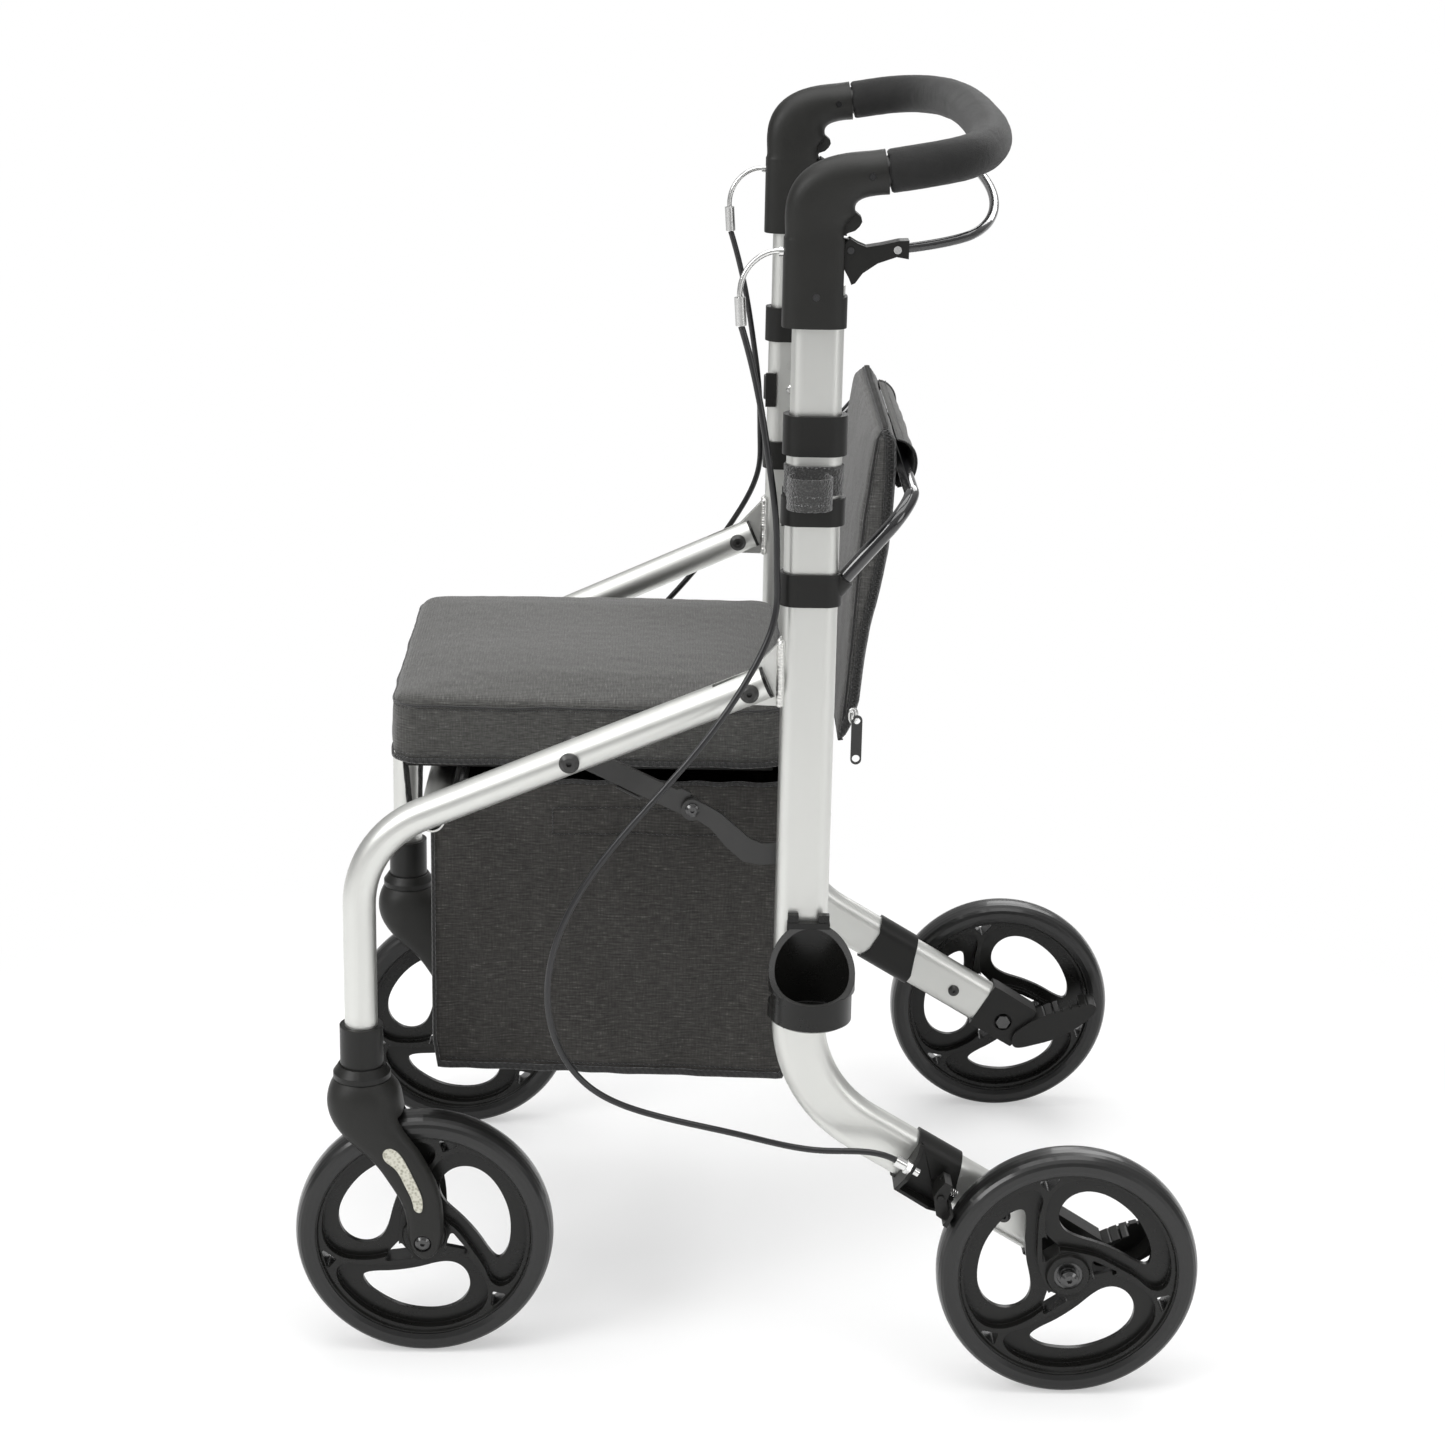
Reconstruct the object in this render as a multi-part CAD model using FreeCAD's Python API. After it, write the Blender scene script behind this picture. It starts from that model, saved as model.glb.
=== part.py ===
import FreeCAD, Part
import math
import os

# Rollator walker. Millimetres. +Z up, -Y is the front (the way it is pushed),
# +X is the user's left, origin on the ground below the middle of the wheelbase.
# Paired pieces are modelled on the left and mirrored. A place called "at" is
# (y, z) for a shape that lies along X, and (x, y) for one that stands along Z.

V = FreeCAD.Vector
os.makedirs("parts", exist_ok=True)

# ---------------------------------------------------------------- dimensions
PLAY = 0.05                     # radial running clearance

# Wheels; axles and pivots are (y, z)
WHEEL_R = 100.0
RIM_R = 91.5
REAR_WHEEL_X, FRONT_WHEEL_X = 266.0, 212.0
AXLE_Z = WHEEL_R
REAR_AXLE, FRONT_AXLE = (264.0, AXLE_Z), (-230.0, AXLE_Z)
AXLE_R = 4.0
BEARING_R, BEARING_W = 11.0, 7.0
CASTER_Y = -277.0               # swivel axis, 47 mm ahead of the front axle

# Flat oval uprights: a leg, a bend and a run sloping down to the rear axle
UPR_X, UPR_Y = 228.0, 55.0
UPR_DEPTH, UPR_WIDTH, UPR_WALL = 40.0, 20.0, 1.4
UPR_BORE_DEPTH, UPR_BORE_WIDTH = UPR_DEPTH - 2 * UPR_WALL, UPR_WIDTH - 2 * UPR_WALL
UPR_TOP = 750.0
UPR_OUTER_X = UPR_X + UPR_WIDTH / 2
BEND_R, BEND_Z, BEND_ANGLE = 106.0, 290.0, 59.0
RUN_LEN = 161.0

# Telescopic stems
STEM_DEPTH, STEM_WIDTH, STEM_WALL = 37.0, 17.0, 1.6
STEM_BOTTOM, STEM_TOP = 560.0, 845.0
HOLE_ZS = [643.0 + 20.0 * k for k in range(4)]
BUTTON_Z = HOLE_ZS[2]
BUTTON_HOLE_R = 4.2

# Folding linkage
FOLD_PIVOT = (12.0, 548.0)
UPPER_PIN = (-119.0, 490.5)     # upper link on the front tube
LINK_RIVET = (-27.7, 447.7)     # link to link
LOWER_PIN = (58.0, 414.5)       # lower link on the upright
PIN_R, RIVET_R = 4.0, 3.0
LINK_W, LINK_T = 16.0, 4.0
UPPER_LINK_X, LOWER_LINK_X = 205.0, 210.0

# Round front tubes and the cross tubes
FRONT_TUBE_R, FRONT_TUBE_WALL, FRONT_BEND_R = 12.5, 1.8, 80.0
FRONT_LEG_X = 212.0
FRONT_CROSS, FRONT_CROSS_R = (-222.0, 438.0), 10.0
REAR_CROSS, REAR_CROSS_R = (66.0, 448.0), 8.0
CROSS_WALL = 1.5

# Seat, bag and pad
SEAT_X, SEAT_Y0, SEAT_Y1, SEAT_Z0, SEAT_Z1 = 155.0, -258.0, 44.0, 462.0, 516.0
BOARD_Z0 = SEAT_Z0 - 5
BAG_X, BAG_Y0, BAG_Y1, BAG_Z0, BAG_Z1 = 155.0, -228.0, 52.0, 213.0, 450.0
BAG_WALL = 4
PAD_X, PAD_Z0, PAD_Z1 = 134.0, 477, 720.5

# Grip loop and brake bar
GRIP_X, GRIP_Z0, GRIP_TILT = 237.0, 926.0, 7.7
FOAM_R, CORE_R, CORE_WALL = 15.5, 11.0, 2.0
LEVER_X, LEVER_PIVOT, LEVER_PIVOT_R = 232.0, (75.8, 871.0), 2.5
BAR_R, BAR_Z0 = 3.5, 871.2
STEM_BOLT, GRIP_BOLT, BOLT_HOLE_R = (52.4, 838.5), (88.7, 924.1), 2.6

# Stick cup
CUP_X, CUP_Y, CUP_R, CUP_WALL = 272.5, 62.0, 32.0, 2.5
CUP_FLOOR_TOP, CUP_STEP_Z = 309.0, 331.0


# ---------------------------------------------------------------- helpers
def save(name, *shapes):
    solids = [solid for s in shapes for solid in s.Solids if solid.Volume > 1e-3]
    shape = solids[0] if len(solids) == 1 else Part.Compound(solids)
    shape.exportStep("parts/%s.step" % name)


def mirrored(shape):
    return shape.mirror(V(0, 0, 0), V(1, 0, 0))


def both(*shapes):
    return [*shapes, *map(mirrored, shapes)]


def save_pair(name, *shapes):
    """Left and right together in one file."""
    save(name, *both(*shapes))


def save_sides(name, *shapes):
    """Left and right in a file each."""
    save(name + "_left", *shapes)
    save(name + "_right", *map(mirrored, shapes))


def largest(shape):
    return max(shape.Solids, key=lambda solid: solid.Volume)


def edges_along(shape, axis):
    return [e for e in shape.Edges
            if abs(getattr(e.tangentAt(e.FirstParameter), axis)) > 0.9]


def box(x0, x1, y0, y1, z0, z1):
    return Part.makeBox(x1 - x0, y1 - y0, z1 - z0, V(x0, y0, z0))


def rod(radius, start, end):
    start = V(*start)
    axis = V(*end).sub(start)
    return Part.makeCylinder(radius, axis.Length, start, axis)


def cone(r0, r1, start, end):
    start = V(*start)
    axis = V(*end).sub(start)
    return Part.makeCone(r0, r1, axis.Length, start, axis)


def rod_x(radius, x0, x1, at):
    return rod(radius, (x0, *at), (x1, *at))


def cone_x(r0, r1, x0, x1, at):
    return cone(r0, r1, (x0, *at), (x1, *at))


def rod_z(radius, z0, z1, at):
    return rod(radius, (*at, z0), (*at, z1))


def cone_z(r0, r1, z0, z1, at):
    return cone(r0, r1, (*at, z0), (*at, z1))


def line(start, end):
    return Part.LineSegment(start, end).toShape()


def polygon_face(points):
    return Part.Face(Part.makePolygon(points + [points[0]]))


def closed_spline(points):
    curve = Part.BSplineCurve()
    curve.interpolate(points, PeriodicFlag=True)
    return Part.Wire([curve.toShape()])


def prism_x(outline, x0, x1, smooth=False):
    """(y, z) outline pushed along X."""
    points = [V(x0, y, z) for y, z in outline]
    face = Part.Face(closed_spline(points)) if smooth else polygon_face(points)
    return face.extrude(V(x1 - x0, 0, 0))


def revolve_x(profile, x, axle):
    """(x, radius) outline turned about an axle along X."""
    points = [V(x + dx, axle[0], axle[1] + r) for dx, r in profile]
    return polygon_face(points).revolve(V(x, *axle), V(1, 0, 0), 360)


def racetrack(depth, width, centre, along=(0, 1, 0)):
    """Flat oval face, width across X and depth along the given direction."""
    half, r = depth / 2 - width / 2, width / 2

    def p(u, v):
        return V(*centre).add(V(*along).multiply(u)).add(V(v, 0, 0))

    return Part.Face(Part.Wire([
        line(p(-half, r), p(half, r)),
        Part.Arc(p(half, r), p(half + r, 0), p(half, -r)).toShape(),
        line(p(half, -r), p(-half, -r)),
        Part.Arc(p(-half, -r), p(-half - r, 0), p(-half, r)).toShape()]))


def power(value, exponent):
    """Sine or cosine reshaped for a superellipse."""
    return math.copysign(abs(value) ** (2 / exponent), value)


def superellipse(centre, along, half_depth, half_width, exponent, count=28):
    """Closed wire, width across X and depth along the given direction."""
    points = []
    for i in range(count):
        t = 2 * math.pi * i / count
        depth = half_depth * power(math.cos(t), exponent)
        width = half_width * power(math.sin(t), exponent)
        points.append(V(*centre).add(V(*along).multiply(depth)).add(V(width, 0, 0)))
    return closed_spline(points)


def hexagon(radius, u, v):
    return [(u + radius * math.cos(k * math.pi / 3), v + radius * math.sin(k * math.pi / 3))
            for k in range(6)]


def sweep(path, at, tangent, radius, bore=None):
    def one(r):
        profile = Part.Wire([Part.makeCircle(r, at, tangent)])
        return path.makePipeShell([profile], True, False)
    solid = one(radius)
    return solid.cut(one(bore)) if bore else solid


def bent_pipe(path, radius, corner, bore=None):
    """Round bar or tube along straight lines with rounded corners."""
    pts = [V(*p) for p in path]
    edges = []
    start = pts[0]
    for before, here, after in zip(pts, pts[1:], pts[2:]):
        back = before.sub(here)
        ahead = after.sub(here)
        back.normalize()
        ahead.normalize()
        angle = math.acos(max(-1, min(1, back.dot(ahead))))
        trim = corner / math.tan(angle / 2)
        arc_start = here.add(V(back).multiply(trim))
        arc_end = here.add(V(ahead).multiply(trim))
        middle = back.add(ahead)
        middle.normalize()
        arc_middle = here.add(middle.multiply(corner / math.sin(angle / 2) - corner))
        if start.sub(arc_start).Length > 1e-4:
            edges.append(line(start, arc_start))
        edges.append(Part.Arc(arc_start, arc_middle, arc_end).toShape())
        start = arc_end
    if start.sub(pts[-1]).Length > 1e-4:
        edges.append(line(start, pts[-1]))
    return sweep(Part.Wire(edges), pts[0], pts[1].sub(pts[0]), radius, bore)


def spline_pipe(path, radius, bore=None):
    pts = [V(*p) for p in path]
    curve = Part.BSplineCurve()
    curve.interpolate(pts)
    tangent = curve.tangent(curve.FirstParameter)[0]
    return sweep(Part.Wire([curve.toShape()]), pts[0], tangent, radius, bore)


def bolt_head(x, at, out, radius, height):
    """Low domed socket head, seated at x, pointing out (+1 or -1)."""
    rim_x = x + out * height * 0.45
    head = rod_x(radius, x, rim_x, at).fuse(
        cone_x(radius, radius * 0.62, rim_x, x + out * height, at))
    socket = hexagon(0.3 * radius, *at)
    return head.cut(prism_x(socket, x + out * (height + 1), x + out * height * 0.4))


def unit(start, end):
    length = math.dist(start, end)
    return (end[0] - start[0]) / length, (end[1] - start[1]) / length


def place(origin, direction, points):
    """(along, across) points laid off in (y, z) from an origin and direction."""
    (y, z), (dy, dz) = origin, direction
    return [(y + dy * a - dz * b, z + dz * a + dy * b) for a, b in points]


# ---------------------------------------------------------------- sloping run
# Down the run and square to it (upwards), as (y, z)
BEND_END = math.radians(180 + BEND_ANGLE)
DOWN = (-math.sin(BEND_END), math.cos(BEND_END))
NORMAL = (-DOWN[1], DOWN[0])
RUN_END = (UPR_Y + BEND_R + BEND_R * math.cos(BEND_END) + DOWN[0] * RUN_LEN,
           BEND_Z + BEND_R * math.sin(BEND_END) + DOWN[1] * RUN_LEN)


def on_run(d, n=0.0):
    """(y, z) at d down the run from the tube's end and n above its centre line."""
    return (RUN_END[0] + DOWN[0] * d + NORMAL[0] * n,
            RUN_END[1] + DOWN[1] * d + NORMAL[1] * n)


def down(length):
    return V(0, DOWN[0] * length, DOWN[1] * length)


def run_oval(depth, width, d, length):
    face = racetrack(depth, width, (UPR_X, *on_run(d)), along=(0, *NORMAL))
    return face.extrude(down(length))


def run_prism(outline, x0, x1):
    """(d, n) outline pushed along X."""
    return prism_x([on_run(*p) for p in outline], x0, x1)


def across_run(outline, d, length):
    """(x, n) outline pushed down the run."""
    return polygon_face([V(x, *on_run(d, n)) for x, n in outline]).extrude(down(length))


def run_rod(radius, x, d0, d1, n=0.0):
    return rod(radius, (x, *on_run(d0, n)), (x, *on_run(d1, n)))


BLOCK_SCREW = on_run(-30.0, -2.0)
BRAKE_PIVOT = on_run(-90.0, -4.0)


# ---------------------------------------------------------------- rear frame
def leg_oval(depth, width, z0, z1):
    """Upright oval prism on the leg's axis."""
    return racetrack(depth, width, (UPR_X, UPR_Y, z0)).extrude(V(0, 0, z1 - z0))


def jacket(z0, z1, wall):
    """Solid oval, one wall larger than the upright all round."""
    return leg_oval(UPR_DEPTH + 2 * wall, UPR_WIDTH + 2 * wall, z0, z1)


def band(z0, z1, wall):
    """Collar around an upright."""
    return jacket(z0, z1, wall).cut(jacket(z0 - 1, z1 + 1, 0))


def upright_solid(depth, width, top, run_length):
    leg = leg_oval(depth, width, BEND_Z, top)
    bend = racetrack(depth, width, (UPR_X, UPR_Y, BEND_Z)).revolve(
        V(UPR_X, UPR_Y + BEND_R, BEND_Z), V(1, 0, 0), BEND_ANGLE)
    run = run_oval(depth, width, -RUN_LEN, run_length)
    return leg.fuse(bend).fuse(run).removeSplitter()


UPRIGHT = upright_solid(UPR_DEPTH, UPR_WIDTH, UPR_TOP, RUN_LEN)


def upright_tube():
    tube = UPRIGHT.cut(
        upright_solid(UPR_BORE_DEPTH, UPR_BORE_WIDTH, UPR_TOP + 1, RUN_LEN + 1))
    for z in HOLE_ZS:
        tube = tube.cut(rod_x(BUTTON_HOLE_R, UPR_X - 20, UPR_X, (UPR_Y, z)))
    tube = tube.cut(rod_x(PIN_R, UPR_X - 15, UPR_X, LOWER_PIN))
    return tube.cut(rod_x(3.0, UPR_X - 15, UPR_X + 15, BLOCK_SCREW))


save_pair("upright_tubes", upright_tube())


def cross_tube(radius, half_length, at, leg, bead_x, bead_major, bead_minor):
    """Tube between two legs, with a ring bead at each end."""
    tube = rod_x(radius, -half_length, half_length, at).cut(
        rod_x(radius - CROSS_WALL, -half_length - 1, half_length + 1, at))
    for solid in both(leg):
        tube = tube.cut(solid)
    tube = largest(tube)
    bead = Part.makeTorus(bead_major, bead_minor, V(bead_x, *at), V(1, 0, 0)).cut(leg)
    return largest(tube.fuse(bead).fuse(mirrored(bead)))


save("rear_cross_tube", cross_tube(REAR_CROSS_R, UPR_X, REAR_CROSS, UPRIGHT,
                                   UPR_X - UPR_WIDTH / 2, REAR_CROSS_R, 1.8))

BRACKET = [  # y, z
    (40, 587), (35.5, 586), (25, 574.5), (14.5, 563.0), (5, 556.5), (0.5, 549.5),
    (0.5, 543.5), (5.0, 537.8), (11, 536.2), (40, 535.6)]


def fold_bracket():
    """Welded plate that carries the fold pivot, with a bead down each side."""
    plate = prism_x(BRACKET, UPR_X - 2.5, UPR_X + 2.5).cut(UPRIGHT)
    plate = plate.cut(rod_x(PIN_R + PLAY, UPR_X - 9, UPR_X + 9, FOLD_PIVOT))
    for side in (-1, 1):
        bead = rod_z(3.0, 536.5, 586.5, (UPR_X + side * 3.6, 36.8)).cut(UPRIGHT)
        plate = plate.fuse(largest(bead))
    return largest(plate.removeSplitter())


save_pair("fold_brackets", fold_bracket())


def upper_collar():
    """Collar with a lip that closes in on the stem."""
    wall = 3.2
    lip = jacket(UPR_TOP, UPR_TOP + 3, wall).cut(
        leg_oval(STEM_DEPTH + 0.6, STEM_WIDTH + 0.6, UPR_TOP - 1, UPR_TOP + 5))
    return band(UPR_TOP - 26, UPR_TOP, wall).fuse(lip).removeSplitter()


save_pair("upper_collars", upper_collar())


def stick_clip():
    """Open clip for a walking stick's strap."""
    clip = band(673.0, 693.0, 3.4).cut(
        box(UPR_X - 20, UPR_X - 9, UPR_Y - 13, UPR_Y + 13, 660, 700))
    tab = box(UPR_X - 13.6, UPR_X - 10.0, UPR_Y - 22, UPR_Y - 13, 668, 697).cut(UPRIGHT)
    return largest(clip.fuse(tab).removeSplitter())


def strap_loop_solid(half_depth, half_width, z, height):
    wire = superellipse((UPR_X + 21.5, 51.5, z), (0, 1, 0), half_depth, half_width, 2.2)
    return Part.Face(wire).extrude(V(0, 0, height))


def stick_strap(clip):
    """Webbing strap with a loop for the stick, left side only."""
    loop = strap_loop_solid(16.5, 13.0, 688.0, 24.0).cut(
        strap_loop_solid(14.9, 11.4, 687.0, 26.0))
    loop = loop.cut(jacket(690.0, 720.0, 0.0)).cut(jacket(668.0, 699.0, 3.5))
    return largest(band(695.0, 717.0, 1.8).fuse(loop).cut(clip))


stick_clip_left = stick_clip()
save_pair("stick_clips", stick_clip_left)
save("stick_strap", stick_strap(stick_clip_left))

CABLE_GUIDE = (UPR_X + 14.5, 30.0)     # x, y


def backrest_hoop():
    foot_y, foot_z, back_y, top_z = 69.0, 621.0, 128.0, 690.0
    hoop = bent_pipe([(UPR_X, foot_y, foot_z), (UPR_X, back_y, top_z),
                      (-UPR_X, back_y, top_z), (-UPR_X, foot_y, foot_z)], 5.5, 30.0)
    for solid in both(UPRIGHT):
        hoop = hoop.cut(solid)
    return largest(hoop)


def hoop_clamp(hoop):
    """Clamp that holds the backrest hoop and guides the brake cable."""
    clamp = band(613.0, 637.0, 2.8)
    clamp = clamp.fuse(rod_z(5.0, 613, 637, CABLE_GUIDE).cut(UPRIGHT))
    clamp = clamp.cut(rod_z(2.7, 600, 650, CABLE_GUIDE))
    boss = rod(8.5, (UPR_X, 72.0, 624.6), (UPR_X, 79.0, 633.0)).cut(UPRIGHT)
    return largest(clamp.fuse(boss).cut(hoop).removeSplitter())


hoop_shape = backrest_hoop()
save_pair("hoop_clamps", hoop_clamp(hoop_shape))
save("backrest_hoop", hoop_shape)

PAD = [  # y, z: up the front, down the back
    (84, PAD_Z0), (82.5, 484), (83.6, 492), (86.2, 520), (90.0, 575), (92.7, 625),
    (95.6, 656), (99.6, 689), (103.2, 716), (107, PAD_Z1), (117, 720.0), (121.0, 714),
    (121.8, 690), (121.5, 676), (120.6, 655), (118.6, 630), (113.5, 600), (106.5, 568),
    (102.5, 536), (100.0, 508), (94.0, 489), (88.0, 478)]


def backrest_pad():
    """Thick cushion, its corners rounded in front view."""
    pad = prism_x(PAD, -PAD_X, PAD_X)
    frame = box(-PAD_X, PAD_X, 60, 140, PAD_Z0, PAD_Z1)
    return pad.common(frame.makeFillet(13.0, edges_along(frame, "y")))


save("backrest_pad", backrest_pad())


def zip_pull():
    """Flat tab with round holed ends, hanging at the foot of the pad."""
    x, y, z = 135.7, 98.0, 495.0
    half = 0.8
    pull = box(x - half, x + half, y - 4.2, y + 4.2, z - 30, z + 1)
    for end_z in (z + 1, z - 30):
        pull = pull.fuse(rod_x(4.2, x - half, x + half, (y, end_z)))
    for radius, hole_z in ((2.6, z + 0.6), (3.0, z - 29.5)):
        pull = pull.cut(rod_x(radius, x - 2, x + 2, (y, hole_z)))
    return pull.removeSplitter()


save("zip_pull", zip_pull())


def above_cup_rim():
    """Everything above the rim, which curves up from the outer side inwards."""
    y = -40
    rim_low, rim_rise, top = 328.0, 43.0, 400.0
    inner_x = CUP_X - CUP_R - 30
    rim = []
    for k in range(13):
        t = k / 12.0
        rim.append(V(CUP_X + CUP_R + 1 - t * (2 * CUP_R + 1), y, rim_low + rim_rise * t ** 1.5))
    curve = Part.BSplineCurve()
    curve.interpolate(rim)
    corners = [rim[-1], V(inner_x, y, rim_low + rim_rise), V(inner_x, y, top),
               V(CUP_X + CUP_R + 1, y, top), rim[0]]
    edges = [curve.toShape()] + [line(a, b) for a, b in zip(corners, corners[1:])]
    return Part.Face(Part.Wire(edges)).extrude(V(0, 200, 0))


def stick_cup():
    """Cup on the left upright, with its back plate, tabs, ring and arm."""
    at = (CUP_X, CUP_Y)
    bore_r = CUP_R - CUP_WALL - 2.0
    body = rod_z(CUP_R, CUP_STEP_Z, 375.0, at).fuse(
        rod_z(CUP_R - 2.0, 308.0, CUP_STEP_Z, at)).fuse(
        cone_z(CUP_R - 6.0, CUP_R - 2.0, 305.5, 308.0, at))
    bore = rod_z(bore_r, CUP_FLOOR_TOP, CUP_STEP_Z, at).fuse(
        rod_z(bore_r, CUP_STEP_Z, 380.0, at))
    cup = body.cut(bore).cut(above_cup_rim())
    floor_ring = Part.makeTorus(16.0, 1.6, V(*at, CUP_FLOOR_TOP), V(0, 0, 1))
    cup = cup.fuse(floor_ring.common(rod_z(30, CUP_FLOOR_TOP - 1, CUP_FLOOR_TOP + 4, at)))
    cup = cup.cut(rod_z(4.0, 295, 320, at))
    back_plate = box(UPR_OUTER_X, CUP_X - CUP_R + 4.5, 44, 76, 296, 371).cut(bore)
    tabs = box(UPR_OUTER_X, UPR_OUTER_X + 6, 44.5, 52.5, 371, 377).fuse(
        box(UPR_OUTER_X, UPR_OUTER_X + 6, 67.5, 75.5, 371, 377))
    ring = jacket(291.0, 303.0, 3.5)
    arm = box(UPR_OUTER_X, CUP_X - 8, 42, 74, 295.0, 303.0)
    cup = cup.fuse(back_plate).fuse(tabs).fuse(ring).fuse(arm).cut(UPRIGHT).cut(bore)
    cup = cup.cut(rod_z(4.0, 290, 320, at))     # floor hole again, through the arm
    return largest(cup.removeSplitter())


save("stick_cup", stick_cup())

# ---------------------------------------------------------------- axle blocks
BLOCK_X0, BLOCK_X1 = UPR_X - 11.0, UPR_X + 11.0
BLOCK = [  # d, n
    (0, 21), (6, 21.5), (46, 20.5), (48, 12), (47, -12), (44, -20.5), (0, -21)]
PEDAL = [  # y, z
    (276, 92), (288, 101), (300, 107.5), (316, 114), (332, 118.5), (343, 120), (348.5, 117),
    (346, 110), (336, 100), (322, 90.5), (306, 83), (290, 78.5), (274, 78)]
PEDAL_POCKET = [(300, 103), (334, 112), (326, 97.5), (306, 88), (292, 88)]   # y, z


def pedal():
    """Tip pedal, grooved on top and pocketed from the outer side."""
    solid = prism_x(PEDAL, UPR_X - 15.0, UPR_X + 9.0, smooth=True)
    for k in range(6):
        rise = k * 7.6
        groove = (302.0 + rise, 109.0 + rise * 0.30)
        solid = solid.cut(rod_x(1.1, UPR_X - 20, UPR_X + 14, groove))
    return solid.cut(prism_x(PEDAL_POCKET, UPR_X - 9.0, UPR_X + 20.0, smooth=True))


def axle_block():
    block = run_prism(BLOCK, BLOCK_X0, BLOCK_X1)
    plug = run_oval(UPR_BORE_DEPTH, UPR_BORE_WIDTH, -45, 46)
    block = block.fuse(plug).fuse(pedal())
    block = block.cut(rod_x(AXLE_R + 0.1, BLOCK_X0 - 9, BLOCK_X1 + 9, REAR_AXLE))
    block = block.cut(rod_x(8.0, BLOCK_X0 - 9, BLOCK_X0 + 4, REAR_AXLE))
    block = block.cut(rod_x(3.0, BLOCK_X0 - 9, BLOCK_X1 + 9, BLOCK_SCREW))
    block = block.cut(rod_x(WHEEL_R + 3, UPR_X + 16, UPR_X + 60, REAR_AXLE))
    return largest(block.removeSplitter())


save_pair("axle_blocks", axle_block())

# ---------------------------------------------------------------- rear brakes
GUARD_X = UPR_X + 12.4
GUARD_D, GUARD_N = -119.5, -22.2        # upper end and underside of the guard
ADJUSTER_X = 256.0
PIVOT_PIN_R = 2.5
# Cutters for the sleeve's lower and upper ends: d, n
SLEEVE_LOWER_CUT = [(-86, 40), (-84, 24), (-78, 6), (-71.5, -10), (-70, -40), (-40, -40),
                    (-40, 40)]
SLEEVE_UPPER_CUT = [(-140, 40), (-123.5, 40), (-122.5, 22), (-117.5, 8), (-117.5, -8),
                    (-121.5, -24), (-121.5, -40), (-140, -40)]
# x from GUARD_X, n
GUARD_FRONT = [(-3, 16), (3, 16.5), (13, 10.5), (19, 2), (20, -8), (13, GUARD_N),
               (-3, GUARD_N)]
# x from GUARD_X, d
GUARD_FLOOR = [(-12, GUARD_D), (13, GUARD_D), (15, -90), (8, -78), (-12, -71.5)]


def brake_housing():
    """Sleeve on the sloping tube, with an outboard guard and the arm's pivot pin."""
    sleeve = run_oval(UPR_DEPTH + 4.4, UPR_WIDTH + 4.8, -122, 52)
    sleeve = sleeve.cut(run_prism(SLEEVE_LOWER_CUT, UPR_X - 30, UPR_X + 30))
    sleeve = sleeve.cut(run_prism(SLEEVE_UPPER_CUT, UPR_X - 30, UPR_X + 30))
    front = across_run([(GUARD_X + x, n) for x, n in GUARD_FRONT], GUARD_D, 3)
    floor = polygon_face([V(GUARD_X + x, *on_run(d, GUARD_N)) for x, d in GUARD_FLOOR])
    floor = floor.extrude(V(0, NORMAL[0] * 2.6, NORMAL[1] * 2.6))
    rib = run_prism([(-118, 18), (-80, -21), (-118, -21)], GUARD_X - 2, GUARD_X + 1)
    housing = sleeve.fuse(front).fuse(floor).fuse(rib).cut(UPRIGHT)
    housing = housing.cut(run_rod(3.3, ADJUSTER_X, -125, -110))
    boss = rod_x(5.0, UPR_OUTER_X, GUARD_X + 8.0, BRAKE_PIVOT).cut(UPRIGHT)
    pin = rod_x(PIVOT_PIN_R, GUARD_X + 2, GUARD_X + 30.0, BRAKE_PIVOT)
    housing = housing.fuse(boss).fuse(pin)
    housing = housing.cut(rod_x(WHEEL_R + 4.0, UPR_X + 19, UPR_X + 70, REAR_AXLE))
    return largest(housing.removeSplitter())


save_pair("brake_housings", brake_housing())

BRAKE_ARM = [  # d, n
    (-95, 2), (-94, 8.5), (-88, 9), (-86, 3), (-84.5, -4), (-79.5, -9), (-79.0, -18.5),
    (-85, -18), (-91, -11), (-95.0, -6)]
SHOE = [(-79.4, -8), (-75.1, -8), (-73.7, -19.0), (-79.4, -19.0)]   # d, n


def brake_arm():
    """Arm with its shoe facing the tyre."""
    x0, x1 = GUARD_X + 8.5, GUARD_X + 28.0
    arm = run_prism(BRAKE_ARM, x0, x1)
    arm = arm.cut(rod_x(PIVOT_PIN_R + PLAY, x0 - 5, x1 + 5, BRAKE_PIVOT))
    arm = arm.cut(run_rod(1.4, ADJUSTER_X, -100, -80, 5.5))
    arm = arm.fuse(run_prism(SHOE, x0 + 3, x0 + 29))
    arm = arm.cut(rod_x(WHEEL_R + 1.8, UPR_X, UPR_X + 90, REAR_AXLE))
    return largest(arm.removeSplitter())


save_sides("brake_arm", brake_arm())


def barrel_adjuster():
    adjuster = run_rod(3.25, ADJUSTER_X, -124, -112).fuse(
        run_rod(4.4, ADJUSTER_X, -133, -123.5))
    nut = across_run(hexagon(5.6, ADJUSTER_X, 0.0), -123.6, 4.0)
    adjuster = adjuster.fuse(nut).cut(run_rod(1.2, ADJUSTER_X, -140, -100))
    return adjuster.cut(run_rod(2.55, ADJUSTER_X, -140, -127))


def return_spring():
    coil_r, wire_r = 2.6, 0.5
    helix = Part.Wire(Part.makeHelix(1.9, 9.5, coil_r))
    profile = Part.Wire([Part.makeCircle(wire_r, V(coil_r, 0, 0), V(0, 1, 0.12))])
    spring = helix.makePipeShell([profile], True, True)
    spring.Placement = FreeCAD.Placement(V(UPR_X + 15.5, *on_run(-83.0, -4.0)),
                                         FreeCAD.Rotation(V(0, 0, 1), V(0, *DOWN)))
    return spring


save("brake_cable_fittings", *both(barrel_adjuster()), *both(return_spring()))

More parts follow.
